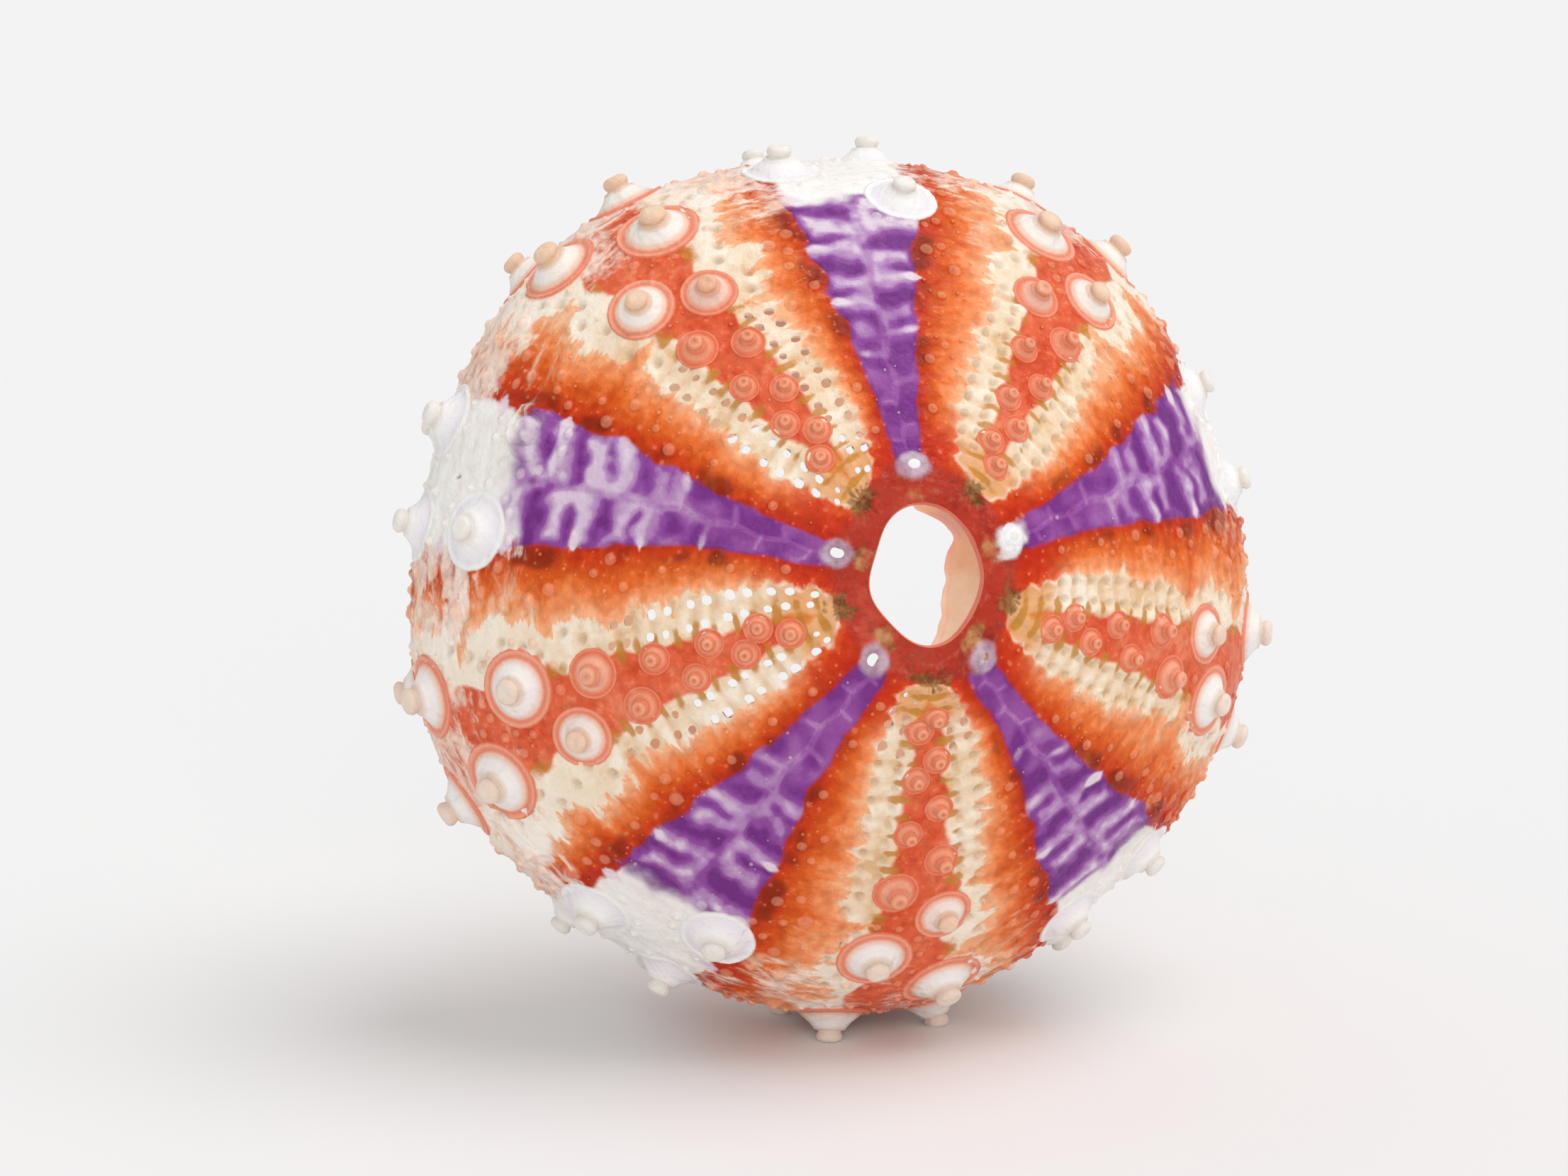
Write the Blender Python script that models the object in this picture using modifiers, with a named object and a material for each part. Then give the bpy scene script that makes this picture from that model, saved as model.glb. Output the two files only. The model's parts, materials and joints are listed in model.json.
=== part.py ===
"""Sea urchin shell: the dried test of a regular urchin with large tubercles,
standing on its edge with the crown facing -Y.

The shell is modelled about its own axis (local +Z through the crown), then the
finished piece leans back onto its edge. Metres, +Z up. The origin is on the
surface it stands on, below the middle of its bounding box.
"""

import math

import bmesh
import bpy
from mathutils import Matrix, Vector

# ---------------------------------------------------------------- dimensions
TEST_RADIUS = 0.0235  # radius at the ambitus, the widest ring
CROWN_HEIGHT = 0.687 * TEST_RADIUS  # from the ambitus plane up to the apex
CROWN_POWERS = (1.5, 1.965)  # shape of the domed upper side
BASE_DEPTH = 0.42 * TEST_RADIUS  # from the ambitus plane down to the mouth side
BASE_POWERS = (3.0, 2.8)  # shape of the flatter lower side
WALL = 0.0009
CROWN_HOLE = 0.1288 * TEST_RADIUS  # mean radius of the oval hole in the crown
CROWN_HOLE_OVAL = 0.0105 * TEST_RADIUS  # half the difference of its radii
MOUTH_RADIUS = 0.42 * TEST_RADIUS
SWELLING = 0.0145  # how far the five rays bulge past the round outline

LEAN = math.radians(8.0)  # how far the axis points up from level
CENTRE_HEIGHT = 1.043 * TEST_RADIUS  # of the middle of the ambitus
CENTRE_OFFSET = Vector((-0.000261, 0.002456))  # puts the box over the origin
FLAT_DEPTH = 0.00022  # how much of a tip the standing facets take off
REACH = 0.040 * TEST_RADIUS  # tips this near the ground are worn to it

RAY_TURN = math.radians(271.84)  # direction of the ray that points down
SECTOR = 2 * math.pi / 5

# Each ray has two columns of tubercles, plus and minus of its middle line. The
# first number is the distance along the surface from the apex to the first
# tubercle, the second how much wider the column is spaced than the others. The
# middle line wanders sideways from drift[0] near the apex to drift[1] where the
# shell is widest. All in test radii.
RAYS = (
    {"turn": 0, "plus": (0.305, -0.050), "minus": (0.337, 0.010), "drift": (0.0, 0.020)},
    {"turn": 1, "plus": (0.379, 0.067), "minus": (0.329, 0.017), "drift": (-0.021, 0.012)},
    {"turn": 2, "plus": (0.339, 0.057), "minus": (0.290, 0.060), "drift": (-0.005, -0.009)},
    {"turn": 3, "plus": (0.330, -0.045), "minus": (0.383, -0.017), "drift": (-0.009, -0.029)},
    {"turn": 4, "plus": (0.312, -0.055), "minus": (0.371, -0.075), "drift": (-0.006, 0.007)},
)
BASE_SWERVE = -0.045  # sideways swerve of the lowest ray below the ambitus
# Between the rays, tubercles begin near the ambitus.
FIELDS = (
    {"turn": 0.5, "plus": (1.13, 0.0), "minus": (1.08, 0.0)},
    {"turn": 1.5, "plus": (1.11, 0.0), "minus": (1.12, 0.0)},
    {"turn": 2.5, "plus": (1.14, 0.0), "minus": (0.97, 0.0)},
    {"turn": 3.5, "plus": (1.03, 0.0), "minus": (0.94, 0.0)},
    {"turn": 4.5, "plus": (0.99, 0.0), "minus": (1.15, 0.0)},
)
MODELLED = (0.80, 1.72)  # tubercles between these distances are in the solid

TURN_STEPS = 45
TUBERCLE_SIDES = 8


# ------------------------------------------------------------------- profile
def crown_point(angle):
    """Outer profile from the apex (0) to the ambitus (pi / 2)."""
    across = math.sin(angle)
    power_r, power_z = CROWN_POWERS
    up = max(1 - across**power_r, 0.0) ** (1 / power_z)
    return Vector((TEST_RADIUS * across, CROWN_HEIGHT * up))


def base_point(angle):
    """Outer profile from the ambitus (0) to the middle of the base (pi / 2)."""
    down = math.sin(angle)
    power_r, power_z = BASE_POWERS
    across = max(1 - down**power_z, 0.0) ** (1 / power_r)
    return Vector((TEST_RADIUS * across, -BASE_DEPTH * down))


def meridian(count=1200):
    """The outer profile as points with their distance from the apex."""
    points = [crown_point(math.pi / 2 * i / count) for i in range(count + 1)]
    points += [base_point(math.pi / 2 * i / count) for i in range(1, count + 1)]
    distances = [0.0]
    for before, after in zip(points, points[1:]):
        distances.append(distances[-1] + (after - before).length)
    return points, distances


POINTS, DISTANCES = meridian()


def on_meridian(distance):
    """Point and outward normal of the profile at a distance from the apex."""
    low, high = 0, len(DISTANCES) - 1
    while high - low > 1:
        middle = (low + high) // 2
        if DISTANCES[middle] <= distance:
            low = middle
        else:
            high = middle
    span = DISTANCES[high] - DISTANCES[low]
    share = (distance - DISTANCES[low]) / span
    point = POINTS[low].lerp(POINTS[high], share)
    before = POINTS[max(low - 4, 0)]
    after = POINTS[min(high + 4, len(POINTS) - 1)]
    along = (after - before).normalized()
    return point, Vector((-along.y, along.x))


def distance_at_radius(radius, below):
    """Distance from the apex at which the profile has this radius."""
    half = len(POINTS) // 2
    indices = range(half, len(POINTS)) if below else range(half, 0, -1)
    for index in indices:
        if POINTS[index].x <= radius:
            return DISTANCES[index]
    return DISTANCES[-1]


# -------------------------------------------------------------------- shape
def shape_point(point):
    """Swells the rays and makes the crown's hole oval."""
    radius = math.hypot(point.x, point.y)
    if radius < 1e-9:
        return point.copy()
    turn = math.atan2(point.y, point.x)
    share = min(max((radius / TEST_RADIUS - 0.35) / 0.65, 0.0), 1.0)
    share = share * share * (3 - 2 * share)
    scale = 1 + SWELLING * share * math.cos(5 * (turn - RAY_TURN))
    near = min(max((0.34 - radius / TEST_RADIUS) / 0.20, 0.0), 1.0)
    if point.z > 0 and near > 0:
        near = near * near * (3 - 2 * near)
        scale -= near * CROWN_HOLE_OVAL / CROWN_HOLE * math.cos(2 * turn)
    return Vector((point.x * scale, point.y * scale, point.z))


def surface_frame(distance, turn):
    """Matrix whose +Z leaves the outer surface at this distance and turn."""

    def place(s, t):
        flat, _ = on_meridian(s)
        return shape_point(
            Vector((flat.x * math.cos(t), flat.x * math.sin(t), flat.y))
        )

    step = 0.0002
    here = place(distance, turn)
    along = place(distance + step, turn) - place(distance - step, turn)
    around = place(distance, turn + 0.01) - place(distance, turn - 0.01)
    normal = along.cross(around).normalized()
    if normal.dot(Vector((here.x, here.y, 0))) < 0:
        normal.negate()
    x_axis = along.normalized()
    y_axis = normal.cross(x_axis).normalized()
    matrix = Matrix((x_axis, y_axis, normal)).transposed().to_4x4()
    matrix.translation = here
    return matrix


def tubercle_gap(distance):
    """Spacing of a column at this distance from the apex, in test radii."""
    crowded = 0.061 + 0.131 * min(distance, 2.5 - distance)
    return crowded + 0.129 * math.exp(-(((distance - 1.012) / 0.166) ** 2))


def column(start, stretch, last):
    """Distances from the apex of the tubercles of one column."""
    distances = []
    distance = start
    while distance < last:
        distances.append(distance)
        half = tubercle_gap(distance) * (1 + stretch) / 2
        distance += tubercle_gap(distance + half) * (1 + stretch)
    return distances


def ring_radius(distance):
    """Radius of a tubercle's ring, in test radii, by distance from the apex."""
    if distance < 1.25:
        share = min(max((distance - 0.54) / 0.50, 0.0), 1.0)
        return 0.032 + 0.062 * share * share * (3 - 2 * share)
    return 0.094 - 0.047 * min((distance - 1.25) / 0.80, 1.0)


def tubercle_reach(distance):
    """How far a tubercle stands up, in test radii: this sets its height."""
    if distance < 1.25:
        share = min(max((distance - 0.30) / 0.95, 0.0), 1.0)
        return 0.034 + 0.056 * share**1.35
    share = min((distance - 1.25) / 0.80, 1.0)
    return 0.090 - 0.048 * share


def column_spread(distance):
    """Distance of a column from its ray's middle line, in test radii."""
    share = min(max((distance - 0.185) / 1.755, 0.0), 0.64)
    narrowing = max(distance - 1.45, 0.0) * 0.10
    return 0.014 + 0.17 * share * share * (3 - 2 * share) - narrowing


def tubercles():
    """(distance, turn, ring radius, reach) of every tubercle in the solid."""
    found = []
    last = distance_at_radius(MOUTH_RADIUS, True) / TEST_RADIUS
    for ray in RAYS:
        for side, name in ((1, "plus"), (-1, "minus")):
            for distance in column(*ray[name], last - 0.06):
                share = min(max((distance - 0.3) / 0.9, 0.0), 1.0)
                sideways = side * column_spread(distance)
                sideways += ray["drift"][0] * (1 - share) + ray["drift"][1] * share
                if ray["turn"] == 0:
                    below = min(max((distance - 1.30) / 0.15, 0.0), 1.0)
                    sideways += BASE_SWERVE * below
                turn = RAY_TURN + SECTOR * ray["turn"]
                flat, _ = on_meridian(distance * TEST_RADIUS)
                turn += sideways * TEST_RADIUS / flat.x
                found.append((distance, turn, ring_radius(distance), tubercle_reach(distance)))
    for field in FIELDS:
        for side, name in ((1, "plus"), (-1, "minus")):
            for distance in column(*field[name], last - 0.12):
                sideways = side * 0.122 * (1 - 0.35 * max(distance - 1.4, 0.0))
                turn = RAY_TURN + SECTOR * field["turn"]
                flat, _ = on_meridian(distance * TEST_RADIUS)
                turn += sideways * TEST_RADIUS / flat.x
                found.append((distance, turn, 0.94 * ring_radius(distance), 0.94 * tubercle_reach(distance)))
    return [t for t in found if MODELLED[0] <= t[0] <= MODELLED[1]]


# ------------------------------------------------------------------- scene
def clear_scene():
    for obj in list(bpy.data.objects):
        bpy.data.objects.remove(obj, do_unlink=True)


def make_collection(name):
    collection = bpy.data.collections.new(name)
    bpy.context.scene.collection.children.link(collection)
    return collection


def make_material(name, color, roughness, metallic=0.0):
    material = bpy.data.materials.new(name)
    material.use_nodes = True
    shader = material.node_tree.nodes["Principled BSDF"]
    shader.inputs["Base Color"].default_value = (*color, 1.0)
    shader.inputs["Roughness"].default_value = roughness
    shader.inputs["Metallic"].default_value = metallic
    material.diffuse_color = (*color, 1.0)
    return material


def turned(name, profile, steps, closed, collection):
    """A mesh object turned from (x, z) points by a Screw about Z."""
    mesh = bpy.data.meshes.new(name + "_profile")
    edges = [(i, i + 1) for i in range(len(profile) - 1)]
    if closed:
        edges.append((len(profile) - 1, 0))
    mesh.from_pydata([(p[0], 0.0, p[1]) for p in profile], edges, [])
    guide = bpy.data.objects.new(name + "_profile", mesh)
    collection.objects.link(guide)
    screw = guide.modifiers.new("turn", "SCREW")
    screw.axis = "Z"
    screw.angle = 2 * math.pi
    screw.steps = steps
    screw.render_steps = steps
    screw.use_merge_vertices = True
    screw.merge_threshold = 0.00001
    bpy.context.view_layer.update()
    graph = bpy.context.evaluated_depsgraph_get()
    made = bpy.data.meshes.new_from_object(guide.evaluated_get(graph))
    made.name = name
    bpy.data.objects.remove(guide, do_unlink=True)
    return made


def wall_profile():
    """Closed section of the wall: down the outside, round the mouth's rim,
    back up the inside and round the rim of the crown's hole."""
    first = distance_at_radius(CROWN_HOLE, False)
    last = distance_at_radius(MOUTH_RADIUS, True)
    outer = []
    for share in (0.0, 0.05, 0.14, 0.25, 0.36, 0.46, 0.54, 0.60, 0.65, 0.70,
                  0.75, 0.805, 0.87, 0.94, 1.0):
        outer.append(on_meridian(first + share * (last - first)))
    inner = []
    for share in (0.985, 0.90, 0.825, 0.755, 0.69, 0.63, 0.56, 0.46, 0.34,
                  0.20, 0.07, 0.008):
        inner.append(on_meridian(first + share * (last - first)))
    profile = [p - n * WALL * (0.28 if i in (0, len(outer) - 1) else 0.0)
               for i, (p, n) in enumerate(outer)]
    profile += [p - n * WALL * (0.82 if i in (0, len(inner) - 1) else 1.0)
                for i, (p, n) in enumerate(inner)]
    return [(p.x, p.y) for p in profile]


def build_wall(collection, material):
    mesh = turned("urchin_test", wall_profile(), TURN_STEPS, True, collection)
    for vertex in mesh.vertices:
        vertex.co = shape_point(vertex.co)
    mesh.materials.clear()
    mesh.materials.append(material)
    mesh.shade_smooth()
    wall = bpy.data.objects.new("urchin_test", mesh)
    collection.objects.link(wall)
    return wall


def build_tubercles(collection, placement):
    """All tubercles in one helper: a boss, a neck and a knob, turned once and
    set at each place along the surface normal."""
    profile = [(0.0, 0.74), (0.33, 0.66), (0.29, 0.43), (0.60, 0.22),
               (0.80, -0.30), (0.0, -0.30)]
    size = 0.01
    unit = turned("tubercle", [(x * size, z * size) for x, z in profile],
                  TUBERCLE_SIDES, False, collection)
    joined = bmesh.new()
    for distance, turn, radius, reach in tubercles():
        frame = surface_frame(distance * TEST_RADIUS, turn)
        scale = radius * TEST_RADIUS / size
        tall = reach * TEST_RADIUS / size
        height = 1.0
        tip = placement @ (frame @ Vector((0, 0, 0.74 * tall * size)))
        if tip.z < REACH:
            down = placement.to_3x3() @ frame.to_3x3() @ Vector((0, 0, 1))
            height += (tip.z + FLAT_DEPTH) / -down.z / (0.74 * tall * size)
        before = len(joined.verts)
        joined.from_mesh(unit)
        joined.verts.ensure_lookup_table()
        grow = Matrix.Diagonal((scale, scale, tall * height, 1.0))
        matrix = frame @ Matrix.Rotation(turn * 3, 4, "Z") @ grow
        bmesh.ops.transform(joined, matrix=matrix, verts=joined.verts[before:])
    mesh = bpy.data.meshes.new("tubercles")
    joined.to_mesh(mesh)
    joined.free()
    bpy.data.meshes.remove(unit)
    obj = bpy.data.objects.new("tubercles", mesh)
    collection.objects.link(obj)
    obj.hide_render = True
    obj.display_type = "WIRE"
    return obj


def build_ground_cutter(collection):
    """The block below the standing surface, which leaves the flat facets."""
    bm = bmesh.new()
    bmesh.ops.create_cube(bm, size=1.0)
    bmesh.ops.scale(bm, vec=(0.06, 0.06, 0.01), verts=bm.verts)
    bmesh.ops.translate(bm, vec=(0.0, 0.0, -0.005), verts=bm.verts)
    mesh = bpy.data.meshes.new("ground_cutter")
    bm.to_mesh(mesh)
    bm.free()
    obj = bpy.data.objects.new("ground_cutter", mesh)
    collection.objects.link(obj)
    obj.hide_render = True
    obj.display_type = "WIRE"
    return obj


def add_boolean(obj, name, operation, other):
    modifier = obj.modifiers.new(name, "BOOLEAN")
    modifier.operation = operation
    modifier.solver = "EXACT"
    modifier.object = other


def main():
    clear_scene()
    parts = make_collection("sea_urchin_shell")
    cutters = make_collection("cutters")
    shell = make_material("urchin_shell", (0.86, 0.42, 0.26), 0.62)

    turn = Matrix.Rotation(math.pi / 2 - LEAN, 4, "X")
    shift = Matrix.Translation((*CENTRE_OFFSET, CENTRE_HEIGHT))
    placement = shift @ turn

    wall = build_wall(parts, shell)
    knobs = build_tubercles(cutters, placement)
    ground = build_ground_cutter(cutters)
    for obj in (wall, knobs):
        obj.location = placement.to_translation()
        obj.rotation_euler = placement.to_euler()
    add_boolean(wall, "tubercles", "UNION", knobs)
    add_boolean(wall, "standing_facets", "DIFFERENCE", ground)
    bpy.context.view_layer.update()


main()
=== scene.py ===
"""Looks of the sea urchin shell: a fine wall with open pores, its lining, lathe
turned tubercles, small beads, a procedural shell material and a pale studio.

Surface positions use two coordinates: the distance from the apex along the
profile, in test radii, and the turn about the shell's own axis. The rules for
the profile, the swelling and the tubercles repeat those of the CAD part.
"""

import json
import math

import bpy
import numpy as np
from mathutils import Matrix, Vector

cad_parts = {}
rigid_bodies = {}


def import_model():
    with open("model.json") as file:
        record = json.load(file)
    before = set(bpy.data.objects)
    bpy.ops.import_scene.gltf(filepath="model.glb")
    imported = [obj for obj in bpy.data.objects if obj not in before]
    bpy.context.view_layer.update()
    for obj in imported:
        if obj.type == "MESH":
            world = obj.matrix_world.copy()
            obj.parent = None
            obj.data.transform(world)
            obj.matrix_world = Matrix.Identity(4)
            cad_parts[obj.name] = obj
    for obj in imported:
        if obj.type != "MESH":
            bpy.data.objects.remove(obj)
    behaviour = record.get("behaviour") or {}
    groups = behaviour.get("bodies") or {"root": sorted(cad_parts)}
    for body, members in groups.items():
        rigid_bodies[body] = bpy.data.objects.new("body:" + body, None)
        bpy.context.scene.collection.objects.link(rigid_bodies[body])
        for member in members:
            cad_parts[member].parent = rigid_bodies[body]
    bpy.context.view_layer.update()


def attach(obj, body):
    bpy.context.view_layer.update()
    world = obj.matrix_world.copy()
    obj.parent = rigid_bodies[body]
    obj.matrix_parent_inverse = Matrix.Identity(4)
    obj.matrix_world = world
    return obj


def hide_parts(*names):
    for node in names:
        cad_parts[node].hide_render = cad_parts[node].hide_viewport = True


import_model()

# ---------------------------------------------------------------- dimensions
TEST_RADIUS = 0.0235
TAU = 2 * math.pi
SECTOR = TAU / 5
RAY_TURN = math.radians(271.84)
LEAN = math.radians(8.0)
CENTRE = np.array([-0.000261, 0.002456, 1.043 * TEST_RADIUS])
FLAT_DEPTH = 0.00022
REACH = 0.040 * TEST_RADIUS
MOUTH = 0.42
RAYS = (
    ((0.305, -0.050), (0.337, 0.010), (0.0, 0.020)),
    ((0.379, 0.067), (0.329, 0.017), (-0.021, 0.012)),
    ((0.339, 0.057), (0.290, 0.060), (-0.005, -0.009)),
    ((0.330, -0.045), (0.383, -0.017), (-0.009, -0.029)),
    ((0.312, -0.055), (0.371, -0.075), (-0.006, 0.007)),
)
BASE_SWERVE = -0.045
FIELDS = ((1.13, 1.08), (1.11, 1.12), (1.14, 0.97), (1.03, 0.94), (0.99, 1.15))

# Half widths in degrees of the five violet bands, plus and minus of the middle
# of each field, at these radii; and the phase of the plate joints on each side.
BAND_RADII = (0.20, 0.23, 0.37, 0.51, 0.66, 0.84, 1.0)
BANDS = (
    ((0.5, 0.5, 1.4, 4.4, 7.0, 10.3, 10.8), (13.0, 13.4, 9.2, 8.9, 10.6, 10.4, 10.8)),
    ((5.0, 5.1, 6.9, 7.2, 9.1, 10.6, 11.0), (7.0, 7.1, 6.6, 8.0, 9.7, 10.6, 11.0)),
    ((8.2, 8.4, 8.4, 8.9, 10.0, 9.8, 10.6), (2.9, 3.1, 4.1, 5.7, 7.5, 9.4, 10.4)),
    ((8.2, 7.9, 6.6, 6.4, 8.4, 9.9, 10.8), (3.6, 3.9, 6.1, 8.7, 10.3, 10.9, 11.2)),
    ((11.0, 11.0, 6.9, 6.2, 8.5, 10.0, 10.8), (3.2, 3.4, 6.9, 8.7, 10.4, 10.9, 11.2)),
)
JOINTS = ((0.30, 0.80), (0.60, 0.10), (0.055, 0.468), (0.84, 0.38), (0.655, 0.15))


def smooth(x, low, high):
    t = np.clip((x - low) / (high - low), 0.0, 1.0)
    return t * t * (3 - 2 * t)


def bump_at(x, middle, width):
    return np.exp(-(((x - middle) / width) ** 2))


# -------------------------------------------------------------------- noise
def lattice(ix, iy, iz, seed):
    h = (ix.astype(np.int64) * 73856093) ^ (iy.astype(np.int64) * 19349663)
    h = h ^ (iz.astype(np.int64) * 83492791) ^ (seed * 2654435761)
    h = (h ^ (h >> 13)) * 1274126177
    h = (h ^ (h >> 16)) & 0xFFFFFF
    return h.astype(np.float64) / 0xFFFFFF


def noise(p, scale, seed):
    """Smooth value noise, 0 to 1, of points (..., 3)."""
    q = p * scale
    i = np.floor(q)
    f = q - i
    f = f * f * (3 - 2 * f)
    ix, iy, iz = (i[..., n].astype(np.int64) for n in range(3))
    total = 0.0
    for a in (0, 1):
        wa = f[..., 0] if a else 1 - f[..., 0]
        for b in (0, 1):
            wb = f[..., 1] if b else 1 - f[..., 1]
            for c in (0, 1):
                wc = f[..., 2] if c else 1 - f[..., 2]
                total = total + wa * wb * wc * lattice(ix + a, iy + b, iz + c, seed)
    return total


# ------------------------------------------------------------------ surface
def make_profile():
    a = np.linspace(0, math.pi / 2, 6001)
    r = np.sin(a)
    z = 0.687 * np.maximum(1 - r**1.5, 0) ** (1 / 1.965)
    d = np.sin(a[1:])
    r = np.concatenate([r, np.maximum(1 - d**2.8, 0) ** (1 / 3.0)])
    z = np.concatenate([z, -0.42 * d])
    s = np.concatenate([[0], np.cumsum(np.hypot(np.diff(r), np.diff(z)))])
    even = np.arange(0, s[-1], 0.0005)
    return even, np.interp(even, s, r), np.interp(even, s, z)


PROFILE_S, PROFILE_R, PROFILE_Z = make_profile()
LAST = float(PROFILE_S[np.argmax((PROFILE_R <= MOUTH) & (PROFILE_S > 1.4))])
FIRST = 0.1295


def radius_at(s):
    return np.interp(s, PROFILE_S, PROFILE_R)


def hole_ratio(f):
    """Outline of the crown's hole against its mean radius."""
    t = f + math.radians(2.04)
    out = -0.0003 * np.cos(t) - 0.0027 * np.sin(t)
    out = out - 0.0099 * np.cos(2 * t) - 0.0016 * np.sin(2 * t)
    out = out - 0.0005 * np.cos(3 * t) - 0.0016 * np.sin(3 * t)
    out = out + 0.0034 * np.cos(4 * t) + 0.0030 * np.sin(4 * t)
    out = out + 0.0004 * np.cos(5 * t) - 0.0017 * np.sin(5 * t)
    out = out + 0.0067 + 0.0058 * np.cos(t) + 0.0029 * np.sin(t) - 0.0032 * np.cos(2 * t)
    return out / 0.1288


def mouth_ragged(f):
    out = 0.012 * np.cos(10 * (f - RAY_TURN)) + 0.007 * np.sin(17 * f + 1.0)
    out = out + 0.005 * np.sin(31 * f + 2.2) + 0.003 * np.cos(53 * f)
    turn = (f + 0.30 + math.pi) % TAU - math.pi
    out = out - 0.055 * bump_at(turn, 0.0, 0.45) + 0.075 * bump_at(turn, 0.56, 0.08)
    return out - 0.085 * bump_at(turn, 0.84, 0.13)


def place(s, f):
    r = np.interp(s, PROFILE_S, PROFILE_R)
    z = np.interp(s, PROFILE_S, PROFILE_Z)
    scale = 1 + 0.0145 * smooth(r, 0.35, 1.0) * np.cos(5 * (f - RAY_TURN))
    near = np.where(z > 0, smooth(r, 0.34, 0.14), 0.0)
    scale = scale + near * hole_ratio(f)
    far = np.where(z < 0, smooth(r, 0.52, 0.43), 0.0)
    scale = scale + far * mouth_ragged(f)
    return np.stack([r * np.cos(f) * scale, r * np.sin(f) * scale, z], -1)


def normal_at(s, f):
    along = place(s + 0.004, f) - place(s - 0.004, f)
    around = place(s, f + 0.01) - place(s, f - 0.01)
    n = np.cross(along, around)
    return n / np.linalg.norm(n, axis=-1, keepdims=True)


def to_world(p):
    c, s = math.cos(LEAN), math.sin(LEAN)
    x, y, z = (p[..., n] * TEST_RADIUS for n in range(3))
    return np.stack([x, y * s - z * c, y * c + z * s], -1) + CENTRE


# ---------------------------------------------------------------- tubercles
def tubercle_gap(s):
    return 0.061 + 0.131 * min(s, 2.5 - s) + 0.129 * math.exp(-(((s - 1.012) / 0.166) ** 2))


def column(start, stretch, last):
    out, s = [], start
    while s < last:
        out.append(s)
        half = tubercle_gap(s) * (1 + stretch) / 2
        s += tubercle_gap(s + half) * (1 + stretch)
    return out


def tubercle_radius(s):
    if s < 1.25:
        return 0.034 + 0.056 * min(max((s - 0.30) / 0.95, 0.0), 1.0) ** 1.35
    return 0.090 - 0.048 * min((s - 1.25) / 0.80, 1.0)


def ring_radius(s):
    if s < 1.25:
        t = min(max((s - 0.54) / 0.50, 0.0), 1.0)
        return 0.032 + 0.062 * t * t * (3 - 2 * t)
    return 0.094 - 0.047 * min((s - 1.25) / 0.80, 1.0)


def column_spread(s):
    t = np.clip((s - 0.185) / 1.755, 0.0, 0.64)
    return 0.014 + 0.17 * t * t * (3 - 2 * t) - np.maximum(s - 1.45, 0.0) * 0.10


def drift_of(ray, s):
    q = np.clip((s - 0.3) / 0.9, 0.0, 1.0)
    d = RAYS[ray][2][0] * (1 - q) + RAYS[ray][2][1] * q
    if ray == 0:
        d = d + BASE_SWERVE * np.clip((s - 1.30) / 0.15, 0.0, 1.0)
    return d


COLUMNS = [[column(*RAYS[k][n], LAST - 0.06) for n in (0, 1)] for k in range(5)]


def ray_tubercles():
    out = []
    for k in range(5):
        for n, side in ((0, 1), (1, -1)):
            for s in COLUMNS[k][n]:
                turn = RAY_TURN + SECTOR * k
                turn += (side * column_spread(s) + drift_of(k, s)) / radius_at(s)
                out.append((s, turn, ring_radius(s), tubercle_radius(s)))
    return np.array(out)


def field_tubercles():
    out = []
    for k in range(5):
        for n, side in ((0, 1), (1, -1)):
            for s in column(FIELDS[k][n], 0.0, LAST - 0.12):
                turn = RAY_TURN + SECTOR * (k + 0.5)
                turn += side * 0.122 * (1 - 0.35 * max(s - 1.4, 0.0)) / radius_at(s)
                out.append((s, turn, 0.94 * ring_radius(s), 0.94 * tubercle_radius(s)))
    return np.array(out)


RAY_TUBERCLES = ray_tubercles()
FIELD_TUBERCLES = field_tubercles()
ALL_TUBERCLES = np.concatenate([RAY_TUBERCLES, FIELD_TUBERCLES])


def plate_phase(s):
    return np.log(0.052 + 0.148 * s) / 0.148


def plate_gap(s):
    return 0.052 + 0.148 * s


PORE_FIRST, PORE_STEP = 0.246, 0.0430
OUTER_ROW = ((0.22, 0.25, 0.30, 0.40, 0.50, 0.60, 0.72), (0.030, 0.052, 0.076, 0.104, 0.121, 0.131, 0.136))
INNER_ROW = ((0.22, 0.25, 0.30, 0.40, 0.50, 0.60, 0.72), (0.014, 0.028, 0.045, 0.060, 0.073, 0.085, 0.096))
PETAL = ((0.19, 0.202, 0.207, 0.214, 0.228, 0.25, 0.30, 0.40, 0.50, 0.60, 0.72, 0.85, 1.0, 1.15, 1.3, 2.1),
         (-0.03, 0.0, 0.018, 0.034, 0.052, 0.068, 0.092, 0.121, 0.138, 0.148, 0.158, 0.180, 0.205, 0.222, 0.232, 0.160))
MIDDLE = ((0.20, 0.26, 0.30, 0.40, 0.50, 0.60, 0.70, 0.85, 1.0, 1.2, 1.4, 2.1),
          (-0.02, 0.004, 0.022, 0.036, 0.050, 0.060, 0.064, 0.072, 0.084, 0.110, 0.130, 0.10))


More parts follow.
